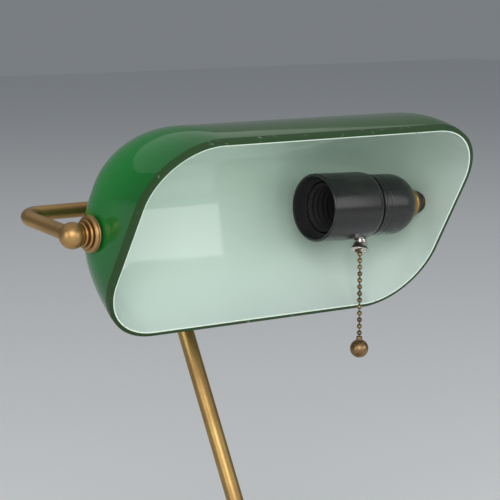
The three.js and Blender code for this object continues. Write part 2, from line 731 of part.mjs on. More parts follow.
function holderSkirt() {
  const profile = [
    [HOLDER_BORE, HOLDER_OPEN + MOUTH_DEPTH],
    [MOUTH_RADIUS, HOLDER_OPEN + MOUTH_DEPTH],
    [MOUTH_RADIUS, HOLDER_OPEN + 0.5],
    [MOUTH_RADIUS + 0.5, HOLDER_OPEN],
    [HOLDER_RADIUS - 0.5, HOLDER_OPEN],
    [HOLDER_RADIUS, HOLDER_OPEN + 0.7],
    [HOLDER_RADIUS, HOLDER_SEAM - 4.4],
    [HOLDER_RADIUS - 0.3, HOLDER_SEAM - 2.6],
    [HOLDER_RADIUS - 1, HOLDER_SEAM - 1.1],
    [HOLDER_RADIUS - 2.2, HOLDER_SEAM],
    [HOLDER_BORE, HOLDER_SEAM],
  ];
  const skirt = solid(turnedX(profile, 26));
  const hole = solid(bellPlace(rodZ(BELL_BODY + SLIP, 5, HOLDER_RADIUS + 11, 18)));
  return piece('lampholder_skirt', skirt.subtract(hole), phenolic);
}

function holderCap() {
  const s = HOLDER_SEAM + GAP;
  const e = HOLDER_END;
  const c = CAP_RADIUS;
  const bore = NIPPLE_RADIUS + SLIP;
  const shoulder = s + CAP_LENGTH * 0.55;
  const neckRadius = bore + 2.9;
  const inside = [
    [bore, e - 3], [neckRadius + 0.8, e - 3.4], [c - 6, e - 5.4], [c - 3.8, shoulder], [HOLDER_BORE, s + 9],
  ];
  const profile = [[HOLDER_BORE, s], [c + 0.4, s], [c + 0.4, s + 1.4], [c - 0.2, s + 1.8]];
  profile.push([c - 0.2, s + 2.5], [c, s + 2.9]);
  for (let i = 0; i <= 6; i += 1) {
    const turn = (Math.PI / 2) * (i / 6);
    const across = (c - neckRadius) * (1 - Math.cos(turn));
    profile.push([c - across, shoulder + (e - shoulder) * Math.sin(turn)]);
  }
  profile.push([bore, e], ...inside);
  return piece('lampholder_cap', turnedX(profile, 22), phenolic);
}

// Rolled round thread, drawn as rings
function threadedShell() {
  const start = HOLDER_OPEN + MOUTH_DEPTH + 0.4;
  const end = CORE_START - GAP;
  const wall = 0.7;
  const inner = [];
  const outer = [];
  const rings = Math.floor((end - start - 3) / (THREAD_PITCH / 2));
  for (let i = 0; i <= rings; i += 1) {
    const x = start + (i * THREAD_PITCH) / 2;
    const r = THREAD_RADIUS + (i % 2 === 0 ? 0.75 : -0.35);
    outer.push([r, x]);
    inner.push([r - wall, x]);
  }
  const last = outer[outer.length - 1];
  const floor = [
    [THREAD_RADIUS - 1, last[1] + 1.5],
    [THREAD_RADIUS - 1, end],
    [5, end],
    [5, end - wall],
    [THREAD_RADIUS - 1 - wall, end - wall],
  ];
  return piece('threaded_shell', turnedX([...outer, ...floor, ...inner.reverse()], 14), phenolic);
}

function insulatorCore() {
  const r = HOLDER_BORE - GAP;
  const profile = [
    [0, CORE_START - 4], [3.9, CORE_START - 4], [3.9, CORE_START],
    [r, CORE_START], [r, CORE_END - 1], [r - 1, CORE_END], [0, CORE_END],
  ];
  const core = solid(turnedX(profile, 22));
  const notch = solid(box(CHAIN_X - 3.4, CHAIN_X + 6, -11, 3, -HOLDER_BORE - 10, -8));
  const hole = (z) => solid(rodX(1.6 + SLIP, CORE_END - 6, 100, 14).translate(0, 0, z));
  const shape = core.subtract(notch).subtract(hole(TERMINAL_OFFSET)).subtract(hole(-TERMINAL_OFFSET));
  return piece('insulator_core', shape, ceramic);
}

function centreContact() {
  const x = CORE_START - 4 - GAP;
  return piece('centre_contact', turnedX([
    [0, x - 1.6], [1.6, x - 1.6], [3, x - 1], [3.4, x - 0.4], [3.4, x], [0, x],
  ], 20), brass);
}

function terminalScrew(name, z) {
  const x = CORE_END;
  const body = solid(turnedX([
    [0, x - 5.6], [1.6, x - 5.6], [1.6, x + GAP], [3, x + GAP], [3, x + 1.5], [2.5, x + 2], [0, x + 2],
  ], 18));
  const slot = solid(box(x + 1.3, x + 3, -0.4, 0.4, -4, 4));
  return piece(name, body.subtract(slot).translate([0, 0, z]), brass);
}

function bellMouth() {
  const r = HOLDER_RADIUS;
  const tail = HOLDER_BORE + 0.6;
  const profile = [
    [2.5, tail], [BELL_BODY, tail], [BELL_BODY, r + GAP], [BELL_BODY + 0.5, r + GAP],
    [BELL_BODY + 0.5, r + 1.2], [3.9, r + 2.6], [4.2, r + 4], [4.8, r + 5.3], [5.6, r + 6],
    [5.8, r + 6.5], [5.2, r + 6.8], [4.4, r + 6.2], [3.6, r + 4.9], [2.9, r + 3.4], [2.6, r + 1.6],
  ];
  const bell = slanted(turnedZ(profile, 16), r + 1.6, 3.4, rad(BELL_SLANT));
  return piece('chain_bell_mouth', bellPlace(bell), nickel);
}

// ---- Pull chain ----
function beadShape(z, sides, rows) {
  const profile = [];
  for (let i = 0; i <= rows; i += 1) {
    const a = (Math.PI * i) / rows;
    const r = i === 0 || i === rows ? 0 : BEAD_RADIUS * Math.sin(a);
    profile.push([r, z - BEAD_RADIUS * Math.cos(a)]);
  }
  return solid(turnedZ(profile, sides));
}

function linkShape(from, to) {
  return solid(rodZ(LINK_RADIUS, from, to, 4));
}

function chainPieces() {
  const place = [CHAIN_X, CHAIN_Y, 0];
  const z = (i) => CHAIN_TOP - i * BEAD_PITCH;
  const bite = BEAD_RADIUS * 0.6;
  const top = beadShape(z(0), 8, 6).add(linkShape(z(0) + bite, z(0) + 4));
  const second = beadShape(z(1), 8, 6).add(linkShape(z(1) + bite, z(0) - BEAD_RADIUS - GAP));
  let rest = linkShape(z(2) + bite, z(1) - BEAD_RADIUS - GAP);
  for (let i = 2; i < BEAD_COUNT; i += 1) {
    rest = rest.add(beadShape(z(i), 6, 4));
    if (i + 1 < BEAD_COUNT) {
      rest = rest.add(linkShape(z(i + 1) + bite, z(i) - bite));
    }
  }
  const foot = z(BEAD_COUNT - 1) - BEAD_RADIUS - GAP;
  const centre = foot - 2 - PULL_RADIUS;
  const profile = [[0, foot], [1.3, foot], [1.7, foot - 0.5], [1.7, foot - 2.2]];
  const start = Math.asin(1.7 / PULL_RADIUS);
  for (let i = 0; i <= 7; i += 1) {
    const a = start + ((Math.PI - start) * i) / 7;
    profile.push([i === 7 ? 0 : PULL_RADIUS * Math.sin(a), centre + PULL_RADIUS * Math.cos(a)]);
  }
  return [
    piece('chain_top_bead', top.translate(place), bronze),
    piece('chain_second_bead', second.translate(place), bronze),
    piece('chain_hanging', rest.translate(place), bronze),
    piece('pull_ball', solid(turnedZ(profile, 14)).translate(place), bronze),
  ];
}

// ---- Assembly ----
const lamp = new THREE.Group();

const stand = new THREE.Group();
stand.add(baseShell(), baseWeight(), basePlate(), baseFelt(), cableGland(), glandNut());
stand.add(stemCollar(), stemWasher(), stemNut(), stemTube());
lamp.add(stand);

const head = new THREE.Group();
head.position.copy(PIVOT);
lamp.add(head);

const yoke = new THREE.Group();
yoke.rotation.x = rad(YOKE_RISE);
yoke.add(yokeTube(BALL_X), yokeHub(), hubScrew());
yoke.add(ball('left_ball', -1, BALL_X), ball('right_ball', 1, BALL_X));
head.add(yoke);

const tilted = new THREE.Group();
tilted.rotation.x = -rad(SHADE_TILT);
tilted.add(shadeGlass());
tilted.add(...outsideStack('left', -1), ...outsideStack('right', 1));
tilted.add(...leftPivot(), ...rightPivot());
head.add(tilted);

// The lampholder sits slightly askew on its nipple, turned about the end of its cap
const holder = new THREE.Group();
holder.add(holderSkirt(), holderCap(), threadedShell(), insulatorCore(), centreContact());
holder.add(terminalScrew('terminal_screw_upper', TERMINAL_OFFSET));
holder.add(terminalScrew('terminal_screw_lower', -TERMINAL_OFFSET));
holder.add(bellMouth());
holder.position.x = -HOLDER_END;
const askew = new THREE.Group();
askew.position.x = HOLDER_END;
askew.rotation.y = rad(HOLDER_LIFT);
askew.add(holder);
head.add(askew);
head.add(...chainPieces());

export default lamp;
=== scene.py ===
"""Banker desk lamp.

A green glass shade that tilts on a brass yoke, a pull-chain lampholder, a bent stem and a round base.
"""

import json
import math

import bmesh
import bpy
from mathutils import Matrix, Vector


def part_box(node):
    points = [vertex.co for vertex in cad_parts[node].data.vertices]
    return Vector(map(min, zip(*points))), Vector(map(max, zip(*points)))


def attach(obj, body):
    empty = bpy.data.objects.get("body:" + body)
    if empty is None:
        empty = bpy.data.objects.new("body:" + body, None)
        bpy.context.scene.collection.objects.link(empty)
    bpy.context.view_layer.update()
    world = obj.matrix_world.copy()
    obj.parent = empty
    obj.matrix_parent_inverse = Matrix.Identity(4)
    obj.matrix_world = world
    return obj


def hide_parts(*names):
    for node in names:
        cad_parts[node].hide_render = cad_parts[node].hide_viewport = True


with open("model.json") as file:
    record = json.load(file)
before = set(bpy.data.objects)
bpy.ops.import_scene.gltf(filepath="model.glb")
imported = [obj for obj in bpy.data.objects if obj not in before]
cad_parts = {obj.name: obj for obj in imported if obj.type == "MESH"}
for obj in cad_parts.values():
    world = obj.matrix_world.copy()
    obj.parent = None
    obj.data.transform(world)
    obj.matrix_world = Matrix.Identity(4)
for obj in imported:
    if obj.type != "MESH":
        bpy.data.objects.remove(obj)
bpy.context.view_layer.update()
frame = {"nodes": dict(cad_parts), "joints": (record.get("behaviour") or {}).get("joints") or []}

MM = 0.001

# ---------------------------------------------------------------- sizes in millimetres, angles in degrees
SHADE_LENGTH, SHADE_WIDTH, SHADE_DEPTH = 225.0, 125.0, 70.0
SHADE_CORNER, SHADE_WALL, END_BULGE = 39.0, 3.2, 3.1
END_POWER, SIDE_POWER = 3.5, 1.6
SHADE_TILT = 59.2
PIVOT_ABOVE_RIM, PIVOT_OFF_CENTRE, PIVOT_HOLE = 25.0, 9.0, 5.4
OPAL_SHARE = 0.25  # share of the wall's thickness that is opal, on the inside
YOKE_RADIUS, YOKE_BORE, YOKE_REACH, YOKE_RISE, YOKE_BEND = 4.0, 2.8, 50.3, 6.5, 12.0
HUB_RADIUS, HUB_LENGTH, HUB_SOCKET = 7.4, 24.0, 11.0
STEM_RADIUS, STEM_BORE, STEM_LEAN = 4.7, 3.3, 27.2
FOOT_BEND, FOOT_TOP, STEM_BOTTOM, NECK_BEND = 48.0, 64.0, 5.2, 33.0
BASE_RADIUS, BASE_TOP, FELT, SHEET, GLAND_HEIGHT = 77.5, 37.0, 2.4, 1.8, 9.6
BALL_RADIUS, BALL_FACE, COLLAR_RADIUS, RING_RADIUS, DISC_RADIUS = 7.0, 4.3, 6.4, 7.8, 9.7
COLLAR_FACE, RING_FACE, DISC_FACE, SEAT_FACE, SEAT_END = 4.6, 6.8, 8.5, 12.0, 12.6  # from the ball's centre
NIPPLE_RADIUS, PIN_RADIUS, GAP, SLIP = 4.8, 2.4, 0.3, 0.25
BORE = NIPPLE_RADIUS + SLIP
LEFT_WASHER_RADIUS, NUT_APOTHEM, NUT_CORNER = 8.0, 7.0, 8.3
RIGHT_SEAT_RADIUS, RING_NUT_RADIUS, RIGHT_BORE = NIPPLE_RADIUS + 1.6, NIPPLE_RADIUS + 3.5, 1.2
HOLDER_RADIUS, SKIRT_LENGTH, CAP_LENGTH, CORE_DEPTH = 19.0, 37.6, 29.3, 26.5
MOUTH_RADIUS, MOUTH_DEPTH, HOLDER_BORE, HOLDER_LIFT = 17.3, 6.6, 14.6, 2.0
CAP_RADIUS, THREAD_RADIUS, THREAD_PITCH, THREAD_WALL = 17.3, 13.0, 3.6, 0.7
CHAIN_DEPTH, CHAIN_Y, CHAIN_TOP = 28.8, -6.3, -21.6
BEAD_RADIUS, BEAD_PITCH, BEAD_COUNT, LINK_RADIUS, PULL_RADIUS = 1.45, 3.75, 14, 0.5, 5.2
BELL_LEAN, BELL_SLANT, BELL_SHIFT, BELL_BODY = 15.0, 18.0, 1.6, 3.2

JOINTS = {joint["name"]: joint for joint in frame["joints"]}
PIVOT = Vector(JOINTS["shade_tilt"]["pos_m"]) / MM
BALL_X = PIVOT.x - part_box("left_pivot_ring")[0].x / MM + RING_FACE
HOLDER_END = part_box("right_ring_nut")[0].x / MM - PIVOT.x - GAP
HOLDER_SEAM = HOLDER_END - CAP_LENGTH
HOLDER_OPEN = HOLDER_SEAM - SKIRT_LENGTH
CORE_START = HOLDER_OPEN + CORE_DEPTH
CHAIN_X = HOLDER_OPEN + CHAIN_DEPTH


# ---------------------------------------------------------------- placing
def at(x, y, z):
    return Matrix.Translation((x, y, z))


def turn(degrees, axis):
    return Matrix.Rotation(math.radians(degrees), 4, axis)


ALONG_X = turn(90, "Y")
HEAD = at(*PIVOT)
TILTED = HEAD @ turn(-SHADE_TILT, "X")
YOKE = HEAD @ turn(YOKE_RISE, "X")
HOLDER = HEAD @ at(HOLDER_END, 0, 0) @ turn(HOLDER_LIFT, "Y") @ at(-HOLDER_END, 0, 0)
BELL = HOLDER @ at(CHAIN_X + BELL_SHIFT, 0, 0) @ turn(-BELL_LEAN, "X") @ turn(180, "X")
CHAIN = HEAD @ at(CHAIN_X, CHAIN_Y, 0)


def link_object(name, mesh):
    """Puts a mesh into the scene as an object at the origin."""
    piece = bpy.data.objects.new(name, mesh)
    bpy.context.scene.collection.objects.link(piece)
    return piece


def finished(name, shape, place, sharp=32.0):
    """A bmesh in millimetres becomes a piece in metres whose object sits at the origin."""
    bmesh.ops.remove_doubles(shape, verts=shape.verts, dist=1e-4)
    bmesh.ops.recalc_face_normals(shape, faces=shape.faces)
    shape.transform(Matrix.Scale(MM, 4) @ place)
    mesh = bpy.data.meshes.new(name)
    shape.to_mesh(mesh)
    shape.free()
    mesh.shade_smooth()
    mesh.set_sharp_from_angle(angle=math.radians(sharp))
    return link_object(name, mesh)


# ---------------------------------------------------------------- turned and bent shapes
def eased(profile, radius, steps=4):
    """Rounds each corner of a profile of (radius, height) points."""
    count = len(profile)
    closed = profile[0][0] > 0
    out = []
    for i, spot in enumerate(profile):
        if not closed and i in (0, count - 1):
            out.append(spot)
            continue
        here = Vector(spot)
        before = Vector(profile[i - 1]) - here
        after = Vector(profile[(i + 1) % count]) - here
        if before.length < 1e-6 or after.length < 1e-6 or before.angle(after) > math.radians(165):
            out.append(spot)
            continue
        a = here + before.normalized() * min(radius, before.length * 0.45)
        b = here + after.normalized() * min(radius, after.length * 0.45)
        for k in range(steps + 1):
            t = k / steps
            out.append(tuple(a * (1 - t) ** 2 + here * 2 * t * (1 - t) + b * t ** 2))
    return out


def turned_shape(profile, sides):
    """A solid of revolution about Z. The profile closes on the axis or on itself."""
    shape = bmesh.new()
    closed = profile[0][0] > 0
    rings = []
    for r, h in profile:
        if r < 1e-6:
            rings.append([shape.verts.new((0, 0, h))])
            continue
        ring = []
        for k in range(sides):
            angle = 2 * math.pi * k / sides
            ring.append(shape.verts.new((r * math.cos(angle), r * math.sin(angle), h)))
        rings.append(ring)
    pairs = list(zip(rings, rings[1:]))
    if closed:
        pairs.append((rings[-1], rings[0]))
    for low, high in pairs:
        for k in range(sides):
            n = (k + 1) % sides
            corners = [low[k % len(low)], low[n % len(low)], high[n % len(high)], high[k % len(high)]]
            unique = list(dict.fromkeys(corners))
            if len(unique) > 2:
                shape.faces.new(unique)
    return shape


def turned(name, profile, place, ease=0.25, sides=96):
    points = eased(profile, ease) if ease else profile
    return finished(name, turned_shape(points, sides), place)


def arc(centre, start, end, radius, steps):
    """Points of (radius, height) on a circle about a centre, between two angles in degrees above level."""
    points = []
    for k in range(steps + 1):
        angle = math.radians(start + (end - start) * k / steps)
        points.append((max(centre[0] + radius * math.cos(angle), 0.0), centre[1] + radius * math.sin(angle)))
    return points


def bend(place, along, inward, radius, angle, steps):
    """Knots of an arc, each a place and a direction."""
    centre = place + inward * radius
    knots = []
    for k in range(steps + 1):
        t = angle * k / steps
        spot = centre - inward * radius * math.cos(t) + along * radius * math.sin(t)
        knots.append((spot, along * math.cos(t) + inward * math.sin(t)))
    return knots


def bent_tube(name, knots, across, radius, bore, place, sides=40):
    """A tube through knots of a plane curve whose plane is square to across."""
    shape = bmesh.new()
    lip = 0.35
    first, last = knots[0], knots[-1]
    stations = [(first[0], first[1], radius - lip), (first[0] + first[1] * lip, first[1], radius)]
    stations += [(spot, along, radius) for spot, along in knots[1:-1]]
    stations += [(last[0] - last[1] * lip, last[1], radius), (last[0], last[1], radius - lip)]
    inside = [(spot, along, bore) for spot, along in reversed(knots)]
    rings = []
    for spot, along, r in stations + inside:
        side = across.cross(along).normalized()
        ring = []
        for k in range(sides):
            angle = 2 * math.pi * k / sides
            ring.append(shape.verts.new(spot + side * r * math.cos(angle) + across * r * math.sin(angle)))
        rings.append(ring)
    for low, high in zip(rings, rings[1:] + rings[:1]):
        for k in range(sides):
            n = (k + 1) % sides
            shape.faces.new((low[k], low[n], high[n], high[k]))
    return finished(name, shape, place)


def cutter(shape, place):
    """A bmesh in millimetres becomes a solid for joined to use up."""
    shape.transform(Matrix.Scale(MM, 4) @ place)
    bmesh.ops.recalc_face_normals(shape, faces=shape.faces)
    mesh = bpy.data.meshes.new("cutter")
    shape.to_mesh(mesh)
    shape.free()
    return link_object("cutter", mesh)


def plain_copy(piece):
    """Replaces a piece's mesh with what its modifiers make of it."""
    graph = bpy.context.evaluated_depsgraph_get()
    mesh = bpy.data.meshes.new_from_object(piece.evaluated_get(graph))
    piece.modifiers.clear()
    piece.data = mesh
    return piece


def joined(piece, other, kind="DIFFERENCE", sharp=32.0):
    """Cuts or joins a piece with another solid, which is then removed."""
    boolean = piece.modifiers.new("cut", "BOOLEAN")
    boolean.operation = kind
    boolean.solver = "EXACT"
    boolean.object = other
    plain_copy(piece)
    bpy.data.objects.remove(other)
    piece.data.shade_smooth()
    piece.data.set_sharp_from_angle(angle=math.radians(sharp))
    return piece


# ---------------------------------------------------------------- finishes
class Finish:
    """A node material around one Principled shader, with patterns on Object coordinates.

    Its methods return sockets to pass on, apart from color, roughness and bump, which reach the shader.
    """

    def __init__(self, name, color, roughness, metallic=0.0, **constants):
        self.material = bpy.data.materials.new(name)
        self.material.use_nodes = True
        self.tree = self.material.node_tree
        self.shader = self.tree.nodes["Principled BSDF"]
        self.shader.inputs["Base Color"].default_value = (*color, 1)
        self.shader.inputs["Roughness"].default_value = roughness
        self.shader.inputs["Metallic"].default_value = metallic
        for socket, value in constants.items():
            self.shader.inputs[socket.replace("_", " ")].default_value = value
        self.coordinates = self.tree.nodes.new("ShaderNodeTexCoord").outputs["Object"]

    def node(self, kind, inputs=None, **settings):
        made = self.tree.nodes.new("ShaderNode" + kind)
        for key, value in settings.items():
            setattr(made, key, value)
        for key, value in (inputs or {}).items():
            if isinstance(value, bpy.types.NodeSocket):
                self.tree.links.new(value, made.inputs[key])
            else:
                made.inputs[key].default_value = value
        return made

    def stretched(self, scale, rotation):
        inputs = {"Vector": self.coordinates, "Scale": scale, "Rotation": rotation}
        return self.node("Mapping", inputs).outputs["Vector"]

    def noise(self, scale, detail=4.0, stretch=(1, 1, 1), rotation=(0, 0, 0)):
        inputs = {"Vector": self.stretched(stretch, rotation), "Scale": scale, "Detail": detail}
        return self.node("TexNoise", inputs).outputs["Fac"]

    def between(self, value, low, high, start=0.3, end=0.7):
        inputs = {"Value": value, "From Min": start, "From Max": end, "To Min": low, "To Max": high}
        return self.node("MapRange", inputs).outputs["Result"]

    def mixed(self, factor, first, second):
        made = self.node("Mix", {0: factor}, data_type="RGBA")
        for index, value in ((6, first), (7, second)):
            if isinstance(value, bpy.types.NodeSocket):
                self.tree.links.new(value, made.inputs[index])
            else:
                made.inputs[index].default_value = (*value, 1)
        return made.outputs[2]

    def attribute(self, name):
        return self.node("Attribute", attribute_name=name).outputs["Fac"]

    def color(self, value):
        self.tree.links.new(value, self.shader.inputs["Base Color"])

    def roughness(self, value):
        self.tree.links.new(value, self.shader.inputs["Roughness"])

    def bump(self, value, strength, distance):
        inputs = {"Height": value, "Strength": strength, "Distance": distance}
        made = self.node("Bump", inputs)
        self.tree.links.new(made.outputs["Normal"], self.shader.inputs["Normal"])

    def added(self, first, second, weight):
        scaled = self.node("Math", {0: second, 1: weight}, operation="MULTIPLY").outputs[0]
        return self.node("Math", {0: first, 1: scaled}, operation="ADD").outputs[0]


def satin_brass(name, stretch, rotation=(0, 0, 0), tone=1.0, warm=(0.54, 0.335, 0.135)):
    """Lacquered antique brass, brushed in the direction that stretch leaves long."""
    light = tuple(tone * value for value in warm)
    dark = tuple(tone * value for value in (0.30, 0.175, 0.068))
    made = Finish(name, light, 0.4, 1.0)
    cloud = made.noise(26, 5)
    streak = made.noise(1, 3, stretch, rotation)
    shade = made.added(made.between(cloud, 0.0, 0.7), streak, 0.5)
    made.color(made.mixed(shade, light, dark))
    made.roughness(made.between(made.added(cloud, streak, 0.8), 0.33, 0.50, 0.5, 1.2))
    made.bump(streak, 0.12, 0.00008)
    return made.material


def spun_brass(name):
    """Brass turned about the lamp's upright axis, with fine rings."""
    light, dark = (0.56, 0.385, 0.165), (0.35, 0.23, 0.09)
    made = Finish(name, light, 0.32, 1.0)
    cloud = made.noise(14, 6)
    inputs = {"Vector": made.coordinates, "Scale": 420.0, "Distortion": 0.6, "Detail": 2.0}
    rings = made.node("TexWave", inputs, wave_type="RINGS", rings_direction="Z").outputs["Fac"]
    speck = made.noise(900, 2)
    made.color(made.mixed(made.between(cloud, 0.0, 0.9), light, dark))
    made.roughness(made.between(made.added(cloud, speck, 0.3), 0.24, 0.42, 0.4, 0.9))
    made.bump(made.added(rings, speck, 0.4), 0.08, 0.00006)
    return made.material


def bronze_finish(name, light, dark, low, high):
    """Dark aged brass of the chain and its ball."""
    made = Finish(name, light, 0.36, 1.0)
    cloud = made.noise(220, 5)
    fine = made.noise(1800, 3)
    made.color(made.mixed(made.between(cloud, 0, 1), light, dark))
    made.roughness(made.between(made.added(cloud, fine, 0.5), low, high, 0.45, 1.0))
    made.bump(fine, 0.12, 0.00005)
    return made.material


def plated(name, color, low, high):
    """Nickel or steel, with faint handling marks."""
    made = Finish(name, color, low, 1.0)
    marks = made.noise(1, 4, (90, 900, 500))
    cloud = made.noise(120, 4)
    made.color(made.mixed(made.between(cloud, 0, 0.5), color, tuple(0.6 * c for c in color)))
    made.roughness(made.between(marks, low, high))
    made.bump(marks, 0.06, 0.00004)
    return made.material


def phenolic(name):
    """Black moulded plastic with a soft sheen and faint flow marks."""
    made = Finish(name, (0.006, 0.006, 0.007), 0.24, IOR=1.5)
    flow = made.noise(1, 5, (18, 70, 70))
    grain = made.noise(1400, 2)
    made.color(made.mixed(made.between(flow, 0, 1), (0.005, 0.005, 0.0055), (0.011, 0.0105, 0.0105)))
    made.roughness(made.between(made.added(flow, grain, 0.35), 0.19, 0.32, 0.45, 0.85))
    made.bump(made.added(flow, grain, 0.25), 0.10, 0.00006)
    return made.material


def green_glass():
    """The outer layer, with painted light and shade: darker towards the rim, bright green where light falls
    on the left end, and a painted olive reflection over the rest.
    """
    made = Finish("green_glass", (0.004, 0.10, 0.026), 0.08, IOR=1.45, Coat_Weight=0.1, Coat_Roughness=0.03)
    height = made.attribute("height")
    wave = made.noise(9, 3)
    along = made.node("SeparateXYZ", {0: made.coordinates}).outputs["X"]
    # painted shade: darker green towards the rim and lighter away from it, with a random wave
    level = made.added(made.between(height, 0.0, 0.75, 0.0, 0.6), wave, 0.2)
    # painted light: the bright green of the left end, where the light falls
    left_end_painted_light = made.mixed(level, (0.005, 0.060, 0.014), (0.008, 0.230, 0.030))
    # painted reflection: an olive tint over the rest of the shade, from the left end rightwards
    olive_painted_reflection = made.mixed(level, (0.030, 0.085, 0.020), (0.060, 0.135, 0.040))
    made.color(made.mixed(made.between(along, 0.0, 1.0, -0.095, -0.055), left_end_painted_light, olive_painted_reflection))
    made.roughness(made.between(made.noise(30, 4), 0.05, 0.12))
    made.bump(made.added(wave, made.noise(60, 2), 0.2), 0.16, 0.0009)
    return made.material


def opal_glass():
    """The white inner layer, with painted shade and painted green light through the wall: darker and greener
    towards the crown.
    """
    made = Finish("opal_glass", (0.66, 0.78, 0.72), 0.10, IOR=1.45, Coat_Weight=0.3, Coat_Roughness=0.04)
    height = made.attribute("height")
    cloud = made.noise(7, 4)
    # painted shade and painted green light through the wall, growing towards the crown, with random cloud
    crown_painted_shade = made.added(made.between(height, 0.0, 0.55, 0.05, 1.0), cloud, 0.3)
    made.color(made.mixed(crown_painted_shade, (0.58, 0.675, 0.64), (0.465, 0.64, 0.49)))
    made.roughness(made.between(made.noise(40, 3), 0.06, 0.13))
    made.bump(cloud, 0.10, 0.0012)
    return made.material


def ground_glass(name, color, chip):
    """The cut rim, finely ground, with small chips."""
    made = Finish(name, color, 0.45, IOR=1.52, Specular_IOR_Level=0.25)
    grit = made.noise(1600, 3)
    chips = made.between(made.noise(260, 2), 0, 1, 0.66, 0.72)
    made.color(made.mixed(chips, color, chip))
    made.roughness(made.between(grit, 0.35, 0.6))
    made.bump(made.added(grit, chips, -0.8), 0.25, 0.00015)
    return made.material


def felt_finish():
    """Green felt with a fuzzy surface."""
    made = Finish("felt", (0.020, 0.055, 0.032), 0.97, Sheen_Weight=0.35)
    fuzz = made.noise(2600, 6)
    cloud = made.noise(70, 4)
    made.color(made.mixed(made.between(cloud, 0, 1), (0.014, 0.042, 0.024), (0.030, 0.072, 0.042)))
    made.bump(made.added(fuzz, cloud, 0.5), 0.6, 0.0004)
    return made.material


def moulded(name, light, dark, low, high, scale=500, level=0.5):
    """Rubber, porcelain, cast iron or matt plastic: a cloudy colour with fine grain."""
    made = Finish(name, light, low, Specular_IOR_Level=level)
    grain = made.noise(scale, 4)
    cloud = made.noise(60, 4)
    made.color(made.mixed(made.between(cloud, 0, 1), light, dark))
    made.roughness(made.between(grain, low, high))
    made.bump(grain, 0.2, 0.0001)
    return made.material


BRASS_ALONG_X = satin_brass("brass_turned_about_x", (2600, 60, 60))
BRASS_YOKE = satin_brass("brass_yoke", (14, 700, 700))
BRASS_STEM = satin_brass("brass_stem", (900, 40, 14), tone=1.05, warm=(0.50, 0.365, 0.125))
BRASS_SPUN = spun_brass("brass_spun")
BRASS_PALE = satin_brass("brass_pale", (1800, 80, 80), tone=1.25)
BRONZE_CHAIN = bronze_finish("bronze_chain", (0.30, 0.22, 0.12), (0.11, 0.08, 0.045), 0.18, 0.36)
BRONZE_BALL = bronze_finish("bronze_pull_ball", (0.34, 0.22, 0.11), (0.18, 0.105, 0.05), 0.28, 0.5)
NICKEL = plated("nickel_plate", (0.66, 0.63, 0.58), 0.12, 0.26)
STEEL = plated("zinc_plated_steel", (0.50, 0.51, 0.52), 0.28, 0.45)
PHENOLIC = phenolic("black_phenolic")
PHENOLIC_INSIDE = moulded(
    "matt_black_phenolic", (0.020, 0.020, 0.020), (0.027, 0.026, 0.026), 0.75, 0.95, level=0.1
)
GREEN_GLASS = green_glass()
OPAL_GLASS = opal_glass()
RIM_GREEN = ground_glass("ground_rim_green", (0.015, 0.050, 0.011), (0.10, 0.16, 0.10))
RIM_WHITE = ground_glass("ground_rim_white", (0.74, 0.86, 0.75), (0.45, 0.52, 0.46))
FELT_FINISH = felt_finish()
RUBBER = moulded("black_rubber", (0.018, 0.018, 0.018), (0.030, 0.029, 0.028), 0.6, 0.85)
PORCELAIN = moulded("glazed_porcelain", (0.72, 0.69, 0.62), (0.62, 0.58, 0.50), 0.16, 0.3, 90)
CAST_IRON = moulded("painted_cast_iron", (0.030, 0.031, 0.033), (0.06, 0.05, 0.045), 0.5, 0.8, 350)


def stands_for(piece, material, body, slot, *nodes):
    """Gives a piece its finish and its place in the lamp."""
    if material is not None:
        piece.data.materials.clear()
        piece.data.materials.append(material)
    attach(piece, body)
    if nodes:
        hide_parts(*nodes)
    return piece


# ---------------------------------------------------------------- shade
def shade_plan(height, inset):
    """Half length, half width and corner radius of the shell at a height above the rim."""
    q = min(max(height / (SHADE_DEPTH - inset), 0.0), 1.0)
    half_length, half_width = SHADE_LENGTH / 2 - inset, SHADE_WIDTH / 2 - inset
    a = (half_length + END_BULGE * 4 * q * (1 - q)) * (1 - q ** END_POWER) ** (1 / END_POWER)
    w = half_width * (1 - q ** SIDE_POWER) ** (1 / SIDE_POWER)
    share = (SHADE_CORNER - inset) / half_width
    return a, w, min(w * (share + (1 - share) * q), a)


def shade_ring(height, inset, corner_steps=20, side_steps=14, end_steps=6):
    """A level outline of the shell: four round corners with straight runs between."""
    a, w, r = shade_plan(height, inset)
    ring = []
    corners = ((1, 1, 0), (-1, 1, 90), (-1, -1, 180), (1, -1, 270))
    for index, (sx, sy, start) in enumerate(corners):
        cx, cy = sx * (a - r), sy * (w - r)
        for k in range(corner_steps + 1):
            angle = math.radians(start + 90 * k / corner_steps)
            ring.append((cx + r * math.cos(angle), cy + r * math.sin(angle), height))
        nx, ny, _ = corners[(index + 1) % 4]
        here = ring[-1]
        there_angle = math.radians(start + 90)
        there = (nx * (a - r) + r * math.cos(there_angle), ny * (w - r) + r * math.sin(there_angle))
        steps = side_steps if sx != nx else end_steps
        for k in range(1, steps):
            t = k / steps
            ring.append((here[0] + (there[0] - here[0]) * t, here[1] + (there[1] - here[1]) * t, height))
    return ring


